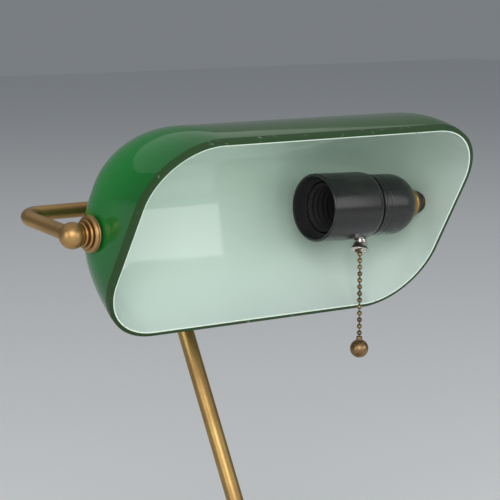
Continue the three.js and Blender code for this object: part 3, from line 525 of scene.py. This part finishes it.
def glass_shell():
    """Outer crown, down to the rim, across it and up inside to the inner crown."""
    rows, ease = 44, 0.5
    green, opal, green_rim, opal_rim = range(4)
    top_out, top_in = SHADE_DEPTH, SHADE_DEPTH - SHADE_WALL
    levels = [math.sin(math.pi / 2 * (0.03 + 0.965 * k / rows)) for k in range(rows)]
    seam = SHADE_WALL * (1 - OPAL_SHARE)
    rings, kinds = [], []
    for q in reversed(levels):
        rings.append(shade_ring(q * top_out, 0))
        kinds.append(green)
    for inset, height, kind in (
        (ease * 0.3, ease * 0.3, green_rim), (ease, 0.0, green_rim), (seam - 0.05, 0.0, green_rim),
        (seam + 0.05, 0.0, opal_rim), (SHADE_WALL - ease, 0.0, opal_rim),
        (SHADE_WALL - ease * 0.3, ease * 0.3, opal_rim),
    ):
        rings.append(shade_ring(height, inset))
        kinds.append(kind)
    for q in levels:
        rings.append(shade_ring(q * top_in, SHADE_WALL))
        kinds.append(opal)
    shape = bmesh.new()
    height_of = shape.verts.layers.float.new("height")
    made = []
    for ring in rings:
        verts = [shape.verts.new(spot) for spot in ring]
        for vert in verts:
            vert[height_of] = vert.co.z / top_out
        made.append(verts)
    count = len(made[0])
    for i, (low, high) in enumerate(zip(made, made[1:])):
        kind = kinds[i + 1]
        for k in range(count):
            n = (k + 1) % count
            face = shape.faces.new((low[k], low[n], high[n], high[k]))
            face.material_index = kind
    for verts, top, kind in ((made[0], top_out, green), (made[-1], top_in, opal)):
        pole = shape.verts.new((0, 0, top))
        pole[height_of] = 1.0
        for k in range(count):
            face = shape.faces.new((verts[k], verts[(k + 1) % count], pole))
            face.material_index = kind
    bmesh.ops.recalc_face_normals(shape, faces=shape.faces)
    shape.transform(Matrix.Scale(MM, 4) @ TILTED @ at(0, -PIVOT_OFF_CENTRE, -PIVOT_ABOVE_RIM))
    mesh = bpy.data.meshes.new("glass_shade")
    shape.to_mesh(mesh)
    shape.free()
    for material in (GREEN_GLASS, OPAL_GLASS, RIM_GREEN, RIM_WHITE):
        mesh.materials.append(material)
    mesh.shade_smooth()
    shell = link_object("glass_shade", mesh)
    hole = turned_shape([(0, -150), (PIVOT_HOLE, -150), (PIVOT_HOLE, 150), (0, 150)], 48)
    joined(shell, cutter(hole, TILTED @ ALONG_X), sharp=50)
    return shell


stands_for(glass_shell(), None, "shade", "cased_glass", "shade_glass")


# ---------------------------------------------------------------- pivot hardware
def pivot_stack(side, name):
    """Turned pieces outside the glass, with heights measured inwards from the ball's centre."""
    place = TILTED @ at(side * BALL_X, 0, 0) @ (turn(-90, "Y") if side > 0 else turn(90, "Y"))
    groove = 0.28
    collar = [
        (BORE, COLLAR_FACE), (COLLAR_RADIUS - 0.9, COLLAR_FACE), (COLLAR_RADIUS - 0.15, 4.95),
        (COLLAR_RADIUS, 5.4), (COLLAR_RADIUS - 0.2, 6.2), (COLLAR_RADIUS - 0.6, 6.5), (BORE, 6.5),
    ]
    ring = [
        (BORE, RING_FACE), (RING_RADIUS - 0.7, RING_FACE), (RING_RADIUS - 0.1, 7.1), (RING_RADIUS, 7.5),
        (RING_RADIUS - 0.1, 7.9), (RING_RADIUS - 0.6, 8.2), (BORE, 8.2),
    ]
    disc = [
        (BORE, DISC_FACE), (DISC_RADIUS - 1.6, DISC_FACE), (DISC_RADIUS - 0.9, 8.7), (DISC_RADIUS - 0.2, 9.3),
        (DISC_RADIUS, 10.0), (DISC_RADIUS - groove, 10.4), (DISC_RADIUS, 10.8),
        (DISC_RADIUS - 0.1, 11.5), (DISC_RADIUS - 0.4, 11.7), (BORE, 11.7),
    ]
    seat = [(BORE, SEAT_FACE), (DISC_RADIUS - 1, SEAT_FACE), (DISC_RADIUS - 1, SEAT_END), (BORE, SEAT_END)]
    for part, profile in (("collar", collar), ("ring", ring), ("disc", disc)):
        piece = turned(f"{name}_{part}", profile, place, 0.3)
        stands_for(piece, BRASS_ALONG_X, "shade", "satin_brass", f"{name}_pivot_{part}")
    stands_for(turned(f"{name}_seat", seat, place, 0.15), RUBBER, "shade", "rubber", f"{name}_outer_seat")


pivot_stack(-1, "left")
pivot_stack(1, "right")


def yoke_ball(side, name):
    """A ball with a flat inner face, bored for its pin and for the yoke's tube."""
    place = YOKE @ at(side * BALL_X, 0, 0) @ (turn(-90, "Y") if side > 0 else turn(90, "Y"))
    start = math.degrees(math.asin(BALL_FACE / BALL_RADIUS))
    outline = arc((0, 0), start, -90, BALL_RADIUS, 40)
    profile = [(0, BALL_FACE), (outline[0][0] - 0.4, BALL_FACE)] + outline[:-1] + [(0, -BALL_RADIUS)]
    piece = turned(f"{name}_yoke_ball", profile, place, 0)
    pin_bore = PIN_RADIUS + SLIP
    pin = turned_shape([(0, -3.2), (pin_bore, -3.2), (pin_bore, 20), (0, 20)], 32)
    joined(piece, cutter(pin, place))
    arm = turned_shape([(0, 3.6), (YOKE_RADIUS + SLIP, 3.6), (YOKE_RADIUS + SLIP, 20), (0, 20)], 48)
    joined(piece, cutter(arm, YOKE @ at(side * BALL_X, 0, 0) @ turn(-90, "X")))
    stands_for(piece, BRASS_ALONG_X, "stand", "satin_brass", f"{name}_ball")


yoke_ball(-1, "left")
yoke_ball(1, "right")


# ---------------------------------------------------------------- yoke and stem
def yoke_tube():
    """One tube from ball to ball round the back of the shade."""
    back, front, side, up = Vector((0, 1, 0)), Vector((0, -1, 0)), Vector((1, 0, 0)), Vector((0, 0, 1))
    quarter = math.pi / 2
    knots = [(Vector((-BALL_X, BALL_RADIUS - 3, 0)), back)]
    knots += bend(Vector((-BALL_X, YOKE_REACH - YOKE_BEND, 0)), back, side, YOKE_BEND, quarter, 20)
    for k in range(1, 24):
        x = (YOKE_BEND - BALL_X) + (2 * BALL_X - 2 * YOKE_BEND) * k / 24
        knots.append((Vector((x, YOKE_REACH, 0)), side))
    knots += bend(Vector((BALL_X - YOKE_BEND, YOKE_REACH, 0)), side, front, YOKE_BEND, quarter, 20)
    knots.append((Vector((BALL_X, BALL_RADIUS - 3, 0)), front))
    piece = bent_tube("yoke", knots, up, YOKE_RADIUS, YOKE_BORE, YOKE)
    stands_for(piece, BRASS_YOKE, "stand", "satin_brass", "yoke_tube")


def stem_layout():
    """How the slanted run meets the neck: the directions along the run, across it and back from the yoke,
    the run's end, the yoke's middle and the neck's angle.
    """
    lean, rise = math.radians(STEM_LEAN), math.radians(YOKE_RISE)
    leaning = Vector((0, math.sin(lean), math.cos(lean)))
    inward = Vector((0, -math.cos(lean), math.sin(lean)))
    yoke_back = Vector((0, math.cos(rise), math.sin(rise)))
    start = Vector((0, FOOT_BEND * (1 - math.cos(lean)), FOOT_TOP + FOOT_BEND * math.sin(lean)))
    cross = PIVOT + yoke_back * YOKE_REACH
    socket = cross + yoke_back * HUB_SOCKET
    angle = math.pi / 2 + lean + rise
    tangent_height = socket.z - NECK_BEND * math.cos(rise) - NECK_BEND * math.sin(lean)
    tangent = start + leaning * (tangent_height - start.z) / math.cos(lean)
    return leaning, inward, yoke_back, tangent, cross, angle


def stem_tube():
    """An upright foot, a slanted run and a neck bent forwards into the hub."""
    leaning, inward, yoke_back, tangent, cross, angle = stem_layout()
    up, back = Vector((0, 0, 1)), Vector((0, 1, 0))
    knots = [(Vector((0, 0, STEM_BOTTOM)), up)]
    knots += bend(Vector((0, 0, FOOT_TOP)), up, back, FOOT_BEND, math.radians(STEM_LEAN), 16)
    first = knots[-1][0]
    knots += [(first.lerp(tangent, k / 16), leaning) for k in range(1, 16)]
    knots += bend(tangent, leaning, inward, NECK_BEND, angle, 44)
    knots.append((cross + yoke_back * (YOKE_RADIUS + 2 * GAP), -yoke_back))
    piece = bent_tube("stem", knots, Vector((1, 0, 0)), STEM_RADIUS, STEM_BORE, Matrix.Identity(4))
    stands_for(piece, BRASS_STEM, "stand", "satin_brass", "stem_tube")


def yoke_hub():
    """A sleeve on the yoke and a boss for the stem, bored for both and for the set screw."""
    half = HUB_LENGTH / 2
    place = YOKE @ at(0, YOKE_REACH, 0)
    sleeve = [
        (0, -half), (HUB_RADIUS - 1.2, -half), (HUB_RADIUS, 1.2 - half), (HUB_RADIUS, 3.4 - half),
        (HUB_RADIUS - 0.4, 3.8 - half), (HUB_RADIUS - 0.4, half - 3.8), (HUB_RADIUS, half - 3.4),
        (HUB_RADIUS, half - 1.2), (HUB_RADIUS - 1.2, half), (0, half),
    ]
    boss = [
        (0, 0), (HUB_RADIUS - 0.2, 0), (HUB_RADIUS - 0.2, HUB_SOCKET - 0.8),
        (HUB_RADIUS - 1, HUB_SOCKET), (0, HUB_SOCKET),
    ]
    rearwards = turn(-90, "X")
    piece = turned("yoke_hub_casting", sleeve, place @ ALONG_X, 0.3, 64)
    joined(piece, cutter(turned_shape(eased(boss, 0.3), 64), place @ rearwards), "UNION")
    tube = turned_shape([(0, -20), (YOKE_RADIUS + SLIP, -20), (YOKE_RADIUS + SLIP, 20), (0, 20)], 48)
    joined(piece, cutter(tube, place @ ALONG_X))
    socket = turned_shape([(0, 3), (STEM_RADIUS + SLIP, 3), (STEM_RADIUS + SLIP, 20), (0, 20)], 48)
    joined(piece, cutter(socket, place @ rearwards))
    screw_bore = 1.85
    screw = turned_shape([(0, -12), (screw_bore, -12), (screw_bore, 0), (0, 0)], 32)
    joined(piece, cutter(screw, place @ at(0, 8, 0)))
    stands_for(piece, BRASS_ALONG_X, "stand", "satin_brass", "yoke_hub")


yoke_tube()
stem_tube()
yoke_hub()


# ---------------------------------------------------------------- base
def base():
    """The spun shell, the felt under it, the cord's gland and the turned collar round the stem."""
    r, foot = BASE_RADIUS, FELT + GAP
    bore = STEM_RADIUS + SLIP
    shoulder, top = Vector((r - 12, BASE_TOP - 18)), Vector((13.5, BASE_TOP))
    run, rise = shoulder.x - top.x, top.y - shoulder.y
    low = Vector((shoulder.x - run * 0.7, shoulder.y + rise * 0.16))
    high = Vector((top.x + run * 0.2, top.y))
    dome, steps = [], 32
    for k in range(steps + 1):
        t, u = k / steps, 1 - k / steps
        dome.append(shoulder * u ** 3 + low * 3 * t * u ** 2 + high * 3 * t * t * u + top * t ** 3)
    edge = [
        (r - 1.2, foot), (r, foot + 1.2), (r, 13.2), (r - 0.7, 14.6), (r - 2.2, 15.6), (r - 6, 16.2),
        (r - 7, 17.2), (r - 8.6, 18.4),
    ]
    outside = edge + [tuple(spot) for spot in dome]
    under = [(spot.x - 0.4, spot.y - SHEET) for spot in reversed(dome[2:-2])]
    inside = [(bore, BASE_TOP - SHEET)] + under + [
        (r - 12.4, 17.2), (r - 9.6, 16.8), (r - 7.9, 14.6), (r - 3, 13.8), (r - SHEET, 12.4),
        (r - SHEET, foot),
    ]
    piece = turned("base_dome", outside + [(bore, BASE_TOP)] + inside, Matrix.Identity(4), 0.8, 160)
    rear = at(0, 0, GLAND_HEIGHT) @ turn(-90, "X")
    gland_bore = 3.65
    joined(piece, cutter(turned_shape([(0, 60), (gland_bore, 60), (gland_bore, 90), (0, 90)], 32), rear))
    stands_for(piece, BRASS_SPUN, "stand", "satin_brass", "base_shell")
    felt = [(0, 0), (r - 1.7, 0), (r - 1.5, 0.4), (r - 1.5, FELT - 0.3), (r - 1.8, FELT), (0, FELT)]
    pad = turned("felt_pad", felt, Matrix.Identity(4), 0.2, 160)
    stands_for(pad, FELT_FINISH, "stand", "felt", "base_felt_pad")
    gland = [
        (2.2, r - 7.4), (3.4, r - 7.4), (3.4, r + GAP), (5, r + GAP), (5, r + 1.6), (4.2, r + 2.8),
        (3, r + 3.4), (2.2, r + 3.4),
    ]
    stands_for(turned("gland", gland, rear, 0.4, 64), RUBBER, "stand", "rubber", "cable_gland")
    z = BASE_TOP + GAP
    collar = [
        (bore, z), (12.6, z), (13, z + 0.8), (12.6, z + 2), (10.6, z + 3), (9.6, z + 4.6), (8.6, z + 8),
        (8.8, z + 9.4), (9.4, z + 10.4), (9.4, z + 11.8), (8.4, z + 13), (7, z + 14), (bore, z + 14),
    ]
    piece = turned("base_collar", collar, Matrix.Identity(4), 0.7, 96)
    stands_for(piece, BRASS_SPUN, "stand", "satin_brass", "stem_collar")


base()


# ---------------------------------------------------------------- inside hardware at the glass ends
def reach(node):
    """Where a node starts and ends along X, from the pivot."""
    low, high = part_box(node)
    return low.x / MM - PIVOT.x, high.x / MM - PIVOT.x


def inside_left():
    """The nipple's threaded end with its seat, washer and hexagon nut. Heights run to the left."""
    left, right = reach("left_nipple")
    start, outer = -right, -left
    place = TILTED @ turn(-90, "Y")
    nipple = [(0, start), (4.4, start), (NIPPLE_RADIUS, start + 0.4)]
    pitch = 0.9
    for k in range(int((BALL_X - COLLAR_FACE - 1 - start) / pitch)):
        z = start + 0.6 + k * pitch
        nipple += [(NIPPLE_RADIUS, z), (NIPPLE_RADIUS - 0.35, z + pitch / 2)]
    shoulder = BALL_X - COLLAR_FACE
    nipple += [(NIPPLE_RADIUS, shoulder), (PIN_RADIUS, shoulder), (PIN_RADIUS, outer), (0, outer)]
    piece = turned("left_threaded_nipple", nipple, place, 0, 48)
    stands_for(piece, BRASS_PALE, "shade", "pale_brass", "left_nipple")
    for node, name, finish, slot in (
        ("left_inner_seat", "left_inside_seat", RUBBER, "rubber"),
        ("left_inner_washer", "left_inside_washer", BRASS_PALE, "pale_brass"),
    ):
        left, right = reach(node)
        ring = [(BORE, -right), (LEFT_WASHER_RADIUS, -right), (LEFT_WASHER_RADIUS, -left), (BORE, -left)]
        stands_for(turned(name, ring, place, 0.3, 64), finish, "shade", slot, node)
    left, right = reach("left_inner_nut")
    a, b = -right, -left
    point = NUT_APOTHEM / math.cos(math.pi / 6)
    nut = turned_shape([(0, a), (point, a), (point, b), (0, b)], 6)
    piece = finished("left_inside_nut", nut, place)
    outline = [
        (0, a), (NUT_APOTHEM, a), (NUT_CORNER, a + 1.0), (NUT_CORNER, b - 0.6), (NUT_CORNER - 0.9, b), (0, b),
    ]
    joined(piece, cutter(turned_shape(eased(outline, 0.2), 64), place), "INTERSECT")
    joined(piece, cutter(turned_shape([(0, a - 5), (BORE, a - 5), (BORE, b + 5), (0, b + 5)], 48), place))
    stands_for(piece, BRASS_PALE, "shade", "pale_brass", "left_inner_nut")


def inside_right():
    """The hollow nipple that carries the lampholder, with its seat and ring nut."""
    place = TILTED @ ALONG_X
    a, b = reach("right_nipple")
    shoulder = BALL_X - COLLAR_FACE
    nipple = [
        (RIGHT_BORE, a), (NIPPLE_RADIUS, a), (NIPPLE_RADIUS, shoulder), (PIN_RADIUS, shoulder),
        (PIN_RADIUS, b), (RIGHT_BORE, b),
    ]
    piece = turned("right_hollow_nipple", nipple, place, 0.2, 48)
    stands_for(piece, BRASS_PALE, "shade", "pale_brass", "right_nipple")
    a, b = reach("right_inner_seat")
    seat = [(BORE, a), (RIGHT_SEAT_RADIUS, a), (RIGHT_SEAT_RADIUS, b), (BORE, b)]
    piece = turned("right_inside_seat", seat, place, 0.4, 64)
    stands_for(piece, RUBBER, "shade", "rubber", "right_inner_seat")
    a, b = reach("right_ring_nut")
    n = RING_NUT_RADIUS
    nut = [
        (BORE, a), (n - 0.7, a), (n, a + 0.7), (n, b - 3.2), (n - 0.4, b - 2.9), (n, b - 2.5),
        (n - 0.3, b - 1.2), (n - 1.1, b), (BORE, b),
    ]
    piece = turned("right_brass_nut", nut, place, 0.35, 64)
    stands_for(piece, BRASS_ALONG_X, "shade", "pale_brass", "right_ring_nut")


inside_left()
inside_right()


# ---------------------------------------------------------------- lampholder
def slanted(shape, height, run, angle):
    """Bends what lies past a height sideways about Y, by an angle that is reached after a run."""
    for vert in shape.verts:
        past = vert.co.z - height
        if past > 0:
            part = angle * min(past / run, 1.0)
            x = vert.co.x
            vert.co.x = x * math.cos(part) - past * math.sin(part)
            vert.co.z = height + x * math.sin(part) + past * math.cos(part)


def lampholder():
    """Skirt, cap, threaded shell, centre contact and the chain's bell mouth."""
    place = HOLDER @ ALONG_X
    s, e, r = HOLDER_SEAM, HOLDER_END, HOLDER_RADIUS
    lip, step = HOLDER_OPEN, HOLDER_OPEN + MOUTH_DEPTH
    skirt = [
        (HOLDER_BORE, step), (MOUTH_RADIUS, step), (MOUTH_RADIUS, lip + 0.5), (MOUTH_RADIUS + 0.5, lip),
        (r - 0.5, lip), (r, lip + 0.7), (r, s - 4.6), (r - 0.3, s - 2.7), (r - 1, s - 1.1), (r - 2.2, s),
        (HOLDER_BORE, s),
    ]
    piece = turned("holder_skirt", skirt, place, 0.7, 128)
    bell_hole = BELL_BODY + SLIP
    hole = turned_shape([(0, 5), (bell_hole, 5), (bell_hole, 30), (0, 30)], 40)
    joined(piece, cutter(hole, BELL))
    stands_for(piece, PHENOLIC, "shade", "phenolic", "lampholder_skirt")
    piece.data.materials.append(PHENOLIC_INSIDE)  # for the faces inside the mouth
    back = (Matrix.Scale(MM, 4) @ place).inverted()
    for face in piece.data.polygons:
        spot = back @ face.center
        if math.hypot(spot.x, spot.y) < MOUTH_RADIUS + 0.3 and spot.z < step + 0.5:
            face.material_index = 1
    c, t = CAP_RADIUS, s + GAP
    shoulder, neck = t + CAP_LENGTH * 0.55, BORE + 2.9
    dome, steps = [], 28
    for k in range(steps + 1):
        angle = math.pi / 2 * k / steps
        dome.append((c - (c - neck) * (1 - math.cos(angle)), shoulder + (e - shoulder) * math.sin(angle)))
    cap = [
        (HOLDER_BORE, t), (c + 0.4, t), (c + 0.4, t + 1.4), (c - 0.2, t + 1.8), (c - 0.2, t + 2.5),
        (c, t + 2.9), (c, t + 5.6), (c - 0.35, t + 5.9), (c, t + 6.2),
    ] + dome + [
        (BORE, e), (BORE, e - 3), (neck + 0.8, e - 3.4), (c - 6, e - 5.4), (c - 3.8, shoulder),
        (HOLDER_BORE, t + 9),
    ]
    stands_for(turned("holder_cap", cap, place, 0.5, 128), PHENOLIC, "shade", "phenolic", "lampholder_cap")
    start, end = step + 0.4, CORE_START - GAP
    inner, outer = [], []
    rings = int((end - start - 3) / (THREAD_PITCH / 2))
    for k in range(rings * 6 + 1):
        x = start + k * THREAD_PITCH / 12
        radius = THREAD_RADIUS + 0.2 + 0.55 * math.cos(math.pi * k / 6)
        outer.append((radius, x))
        inner.append((radius - THREAD_WALL, x))
    last = outer[-1][1]
    floor = [
        (THREAD_RADIUS - 1, last + 1.5), (THREAD_RADIUS - 1, end), (5, end), (5, end - THREAD_WALL),
        (THREAD_RADIUS - 1 - THREAD_WALL, end - THREAD_WALL),
    ]
    thread = turned("holder_thread", outer + floor + inner[::-1], place, 0, 96)
    stands_for(thread, PHENOLIC_INSIDE, "shade", "phenolic", "threaded_shell")
    x = CORE_START - 4 - GAP
    contact = [(0, x - 1.6), (1.6, x - 1.6), (3, x - 1), (3.4, x - 0.4), (3.4, x), (0, x)]
    piece = turned("holder_contact", contact, place, 0.3, 48)
    stands_for(piece, BRASS_PALE, "shade", "pale_brass", "centre_contact")
    tail = HOLDER_BORE + 0.6
    bell = [
        (2.5, tail), (BELL_BODY, tail), (BELL_BODY, r + GAP), (3.7, r + GAP), (3.7, r + 1.2), (3.9, r + 2.6),
        (4.2, r + 4), (4.8, r + 5.3), (5.6, r + 6), (5.8, r + 6.5), (5.2, r + 6.8), (4.4, r + 6.2),
        (3.6, r + 4.9), (2.9, r + 3.4), (2.6, r + 1.6),
    ]
    shape = turned_shape(eased(bell, 0.35), 80)
    slanted(shape, r + 1.6, 3.4, math.radians(BELL_SLANT))
    stands_for(finished("chain_bell", shape, BELL), NICKEL, "shade", "nickel", "chain_bell_mouth")


lampholder()


# ---------------------------------------------------------------- pull chain
def bead_tree():
    """Beads down a line, with a link above each bead. Returns the tree and its inputs' identifiers."""
    tree = bpy.data.node_groups.new("bead_chain", "GeometryNodeTree")
    face = tree.interface
    face.new_socket("Geometry", in_out="OUTPUT", socket_type="NodeSocketGeometry")
    sockets = {}
    for name, kind in (
        ("Beads", "NodeSocketInt"), ("Links", "NodeSocketInt"), ("Pitch", "NodeSocketFloat"),
        ("Top", "NodeSocketVector"), ("Bead Radius", "NodeSocketFloat"), ("Link Radius", "NodeSocketFloat"),
        ("Finish", "NodeSocketMaterial"),
    ):
        sockets[name] = face.new_socket(name, in_out="INPUT", socket_type=kind).identifier
    nodes, links = tree.nodes, tree.links
    given = nodes.new("NodeGroupInput").outputs
    drop = nodes.new("ShaderNodeCombineXYZ")
    down = nodes.new("ShaderNodeMath")
    down.operation = "MULTIPLY"
    down.inputs[1].default_value = -1.0
    links.new(given["Pitch"], down.inputs[0])
    links.new(down.outputs[0], drop.inputs["Z"])
    half = nodes.new("ShaderNodeVectorMath")
    half.operation = "SCALE"
    half.inputs["Scale"].default_value = 0.5
    links.new(drop.outputs[0], half.inputs[0])
    middle = nodes.new("ShaderNodeVectorMath")
    middle.operation = "SUBTRACT"
    links.new(given["Top"], middle.inputs[0])
    links.new(half.outputs[0], middle.inputs[1])
    join = nodes.new("GeometryNodeJoinGeometry")
    bead = nodes.new("GeometryNodeMeshUVSphere")
    bead.inputs["Segments"].default_value = 28
    bead.inputs["Rings"].default_value = 16
    links.new(given["Bead Radius"], bead.inputs["Radius"])
    rod = nodes.new("GeometryNodeMeshCylinder")
    rod.inputs["Vertices"].default_value = 14
    links.new(given["Link Radius"], rod.inputs["Radius"])
    links.new(given["Pitch"], rod.inputs["Depth"])
    for number, start, shape in (("Beads", given["Top"], bead), ("Links", middle.outputs[0], rod)):
        line = nodes.new("GeometryNodeMeshLine")
        links.new(given[number], line.inputs["Count"])
        links.new(start, line.inputs["Start Location"])
        links.new(drop.outputs[0], line.inputs["Offset"])
        copies = nodes.new("GeometryNodeInstanceOnPoints")
        links.new(line.outputs["Mesh"], copies.inputs["Points"])
        links.new(shape.outputs["Mesh"], copies.inputs["Instance"])
        links.new(copies.outputs["Instances"], join.inputs["Geometry"])
    smooth = nodes.new("GeometryNodeSetShadeSmooth")
    real = nodes.new("GeometryNodeRealizeInstances")
    paint = nodes.new("GeometryNodeSetMaterial")
    out = nodes.new("NodeGroupOutput")
    links.new(join.outputs["Geometry"], smooth.inputs["Geometry"])
    links.new(smooth.outputs["Geometry"], real.inputs["Geometry"])
    links.new(real.outputs["Geometry"], paint.inputs["Geometry"])
    links.new(given["Finish"], paint.inputs["Material"])
    links.new(paint.outputs["Geometry"], out.inputs["Geometry"])
    return tree, sockets


def bead_run(name, tree, sockets, first, beads, body, node):
    """Some of the chain's beads. Each run also has the link above its first bead."""
    piece = link_object(name, bpy.data.meshes.new(name))
    modifier = piece.modifiers.new("beads", "NODES")
    modifier.node_group = tree
    top = CHAIN @ Vector((0, 0, CHAIN_TOP - first * BEAD_PITCH))
    values = {
        "Beads": beads, "Links": beads, "Pitch": BEAD_PITCH * MM, "Top": top * MM,
        "Bead Radius": BEAD_RADIUS * MM, "Link Radius": LINK_RADIUS * MM, "Finish": BRONZE_CHAIN,
    }
    for key, value in values.items():
        modifier[sockets[key]] = value
    plain_copy(piece)
    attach(piece, body)
    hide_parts(node)


def pull_chain():
    """The chain's three runs of beads and the ball with its cup."""
    tree, sockets = bead_tree()
    bead_run("top_bead", tree, sockets, 0, 1, "chain_top", "chain_top_bead")
    bead_run("second_bead", tree, sockets, 1, 1, "chain_second", "chain_second_bead")
    bead_run("hanging_beads", tree, sockets, 2, BEAD_COUNT - 2, "chain", "chain_hanging")
    foot = CHAIN_TOP - (BEAD_COUNT - 1) * BEAD_PITCH - BEAD_RADIUS - GAP
    centre = foot - 2 - PULL_RADIUS
    start = math.degrees(math.acos(1.7 / PULL_RADIUS))
    outline = arc((0, centre), start, -90, PULL_RADIUS, 48)
    cup = [(0, foot), (1.0, foot), (1.45, foot - 0.2), (1.7, foot - 0.6), (1.7, foot - 1.6)]
    piece = turned("chain_pull", cup + outline[:-1] + [(0, centre - PULL_RADIUS)], CHAIN, 0, 72)
    stands_for(piece, BRONZE_BALL, "chain", "bronze", "pull_ball")


pull_chain()


# ---------------------------------------------------------------- carried-over pieces
CARRIED = {
    "base_weight": CAST_IRON, "base_plate": STEEL, "gland_nut": NICKEL, "stem_washer": STEEL,
    "stem_lock_nut": STEEL, "hub_set_screw": STEEL, "insulator_core": PORCELAIN,
    "terminal_screw_upper": BRASS_PALE, "terminal_screw_lower": BRASS_PALE,
}
for node, material in CARRIED.items():
    mesh = frame["nodes"][node].data
    mesh.materials.clear()
    mesh.materials.append(material)


# ---------------------------------------------------------------- studio
def studio():
    """A pale floor, a dim sky and five soft lights that face the pivot."""
    side = 6.0
    corners = [(-side, -side, 0), (side, -side, 0), (side, side, 0), (-side, side, 0)]
    floor_mesh = bpy.data.meshes.new("studio_floor")
    floor_mesh.from_pydata(corners, [], [(0, 1, 2, 3)])
    floor = link_object("studio_floor", floor_mesh)
    paper = Finish("studio_paper", (0.88, 0.885, 0.89), 0.85, Specular_IOR_Level=0.1)
    paper.bump(paper.noise(300, 3), 0.05, 0.0002)
    floor_mesh.materials.append(paper.material)
    world = bpy.data.worlds.new("studio")
    bpy.context.scene.world = world
    world.use_nodes = True
    sky = world.node_tree.nodes["Background"]
    sky.inputs["Color"].default_value = (0.80, 0.86, 0.92, 1)
    sky.inputs["Strength"].default_value = 0.24
    lights = (  # name, place, width, height, watts, colour
        ("key_window", (-0.95, -1.25, 0.95), 0.8, 0.9, 15, (1.0, 0.99, 0.97)),
        ("front_fill", (0.35, -2.3, 0.75), 1.8, 1.1, 13, (0.97, 0.98, 1.0)),
        ("right_strip", (1.00, -1.15, 0.66), 0.60, 0.74, 2.9, (1.0, 0.98, 0.99)),
        ("low_left", (-2.3, -0.3, 0.75), 0.7, 1.1, 13, (1.0, 0.99, 0.97)),
        ("top_soft", (0.0, 0.3, 2.4), 4.6, 4.2, 24, (0.98, 1.0, 0.98)),
    )
    for name, place, width, height, power, color in lights:
        data = bpy.data.lights.new(name, "AREA")
        data.shape = "RECTANGLE"
        data.size, data.size_y, data.energy, data.color = width, height, power, color
        lamp = bpy.data.objects.new(name, data)
        lamp.location = place
        lamp.rotation_mode = "QUATERNION"
        lamp.rotation_quaternion = (PIVOT * MM - Vector(place)).to_track_quat("-Z", "Y")
        bpy.context.scene.collection.objects.link(lamp)
    bpy.context.scene.view_settings.view_transform = "Standard"


def camera():
    """Looks down a little at the lamp, from the front and left."""
    heading, dip = math.radians(38.235), math.radians(8.042)
    distance, lens, sensor = 1.0932, 145.36, 36.0
    target = PIVOT * MM + Vector((-0.01297, 0, -0.01733))
    ahead = Vector((math.sin(heading) * math.cos(dip), math.cos(heading) * math.cos(dip), -math.sin(dip)))
    data = bpy.data.cameras.new("camera")
    data.sensor_width, data.lens, data.clip_start, data.clip_end = sensor, lens, 0.01, 50
    view = bpy.data.objects.new("camera", data)
    view.location = target - ahead * distance
    view.rotation_mode = "QUATERNION"
    view.rotation_quaternion = ahead.to_track_quat("-Z", "Y")
    bpy.context.scene.collection.objects.link(view)
    bpy.context.scene.camera = view


studio()
camera()
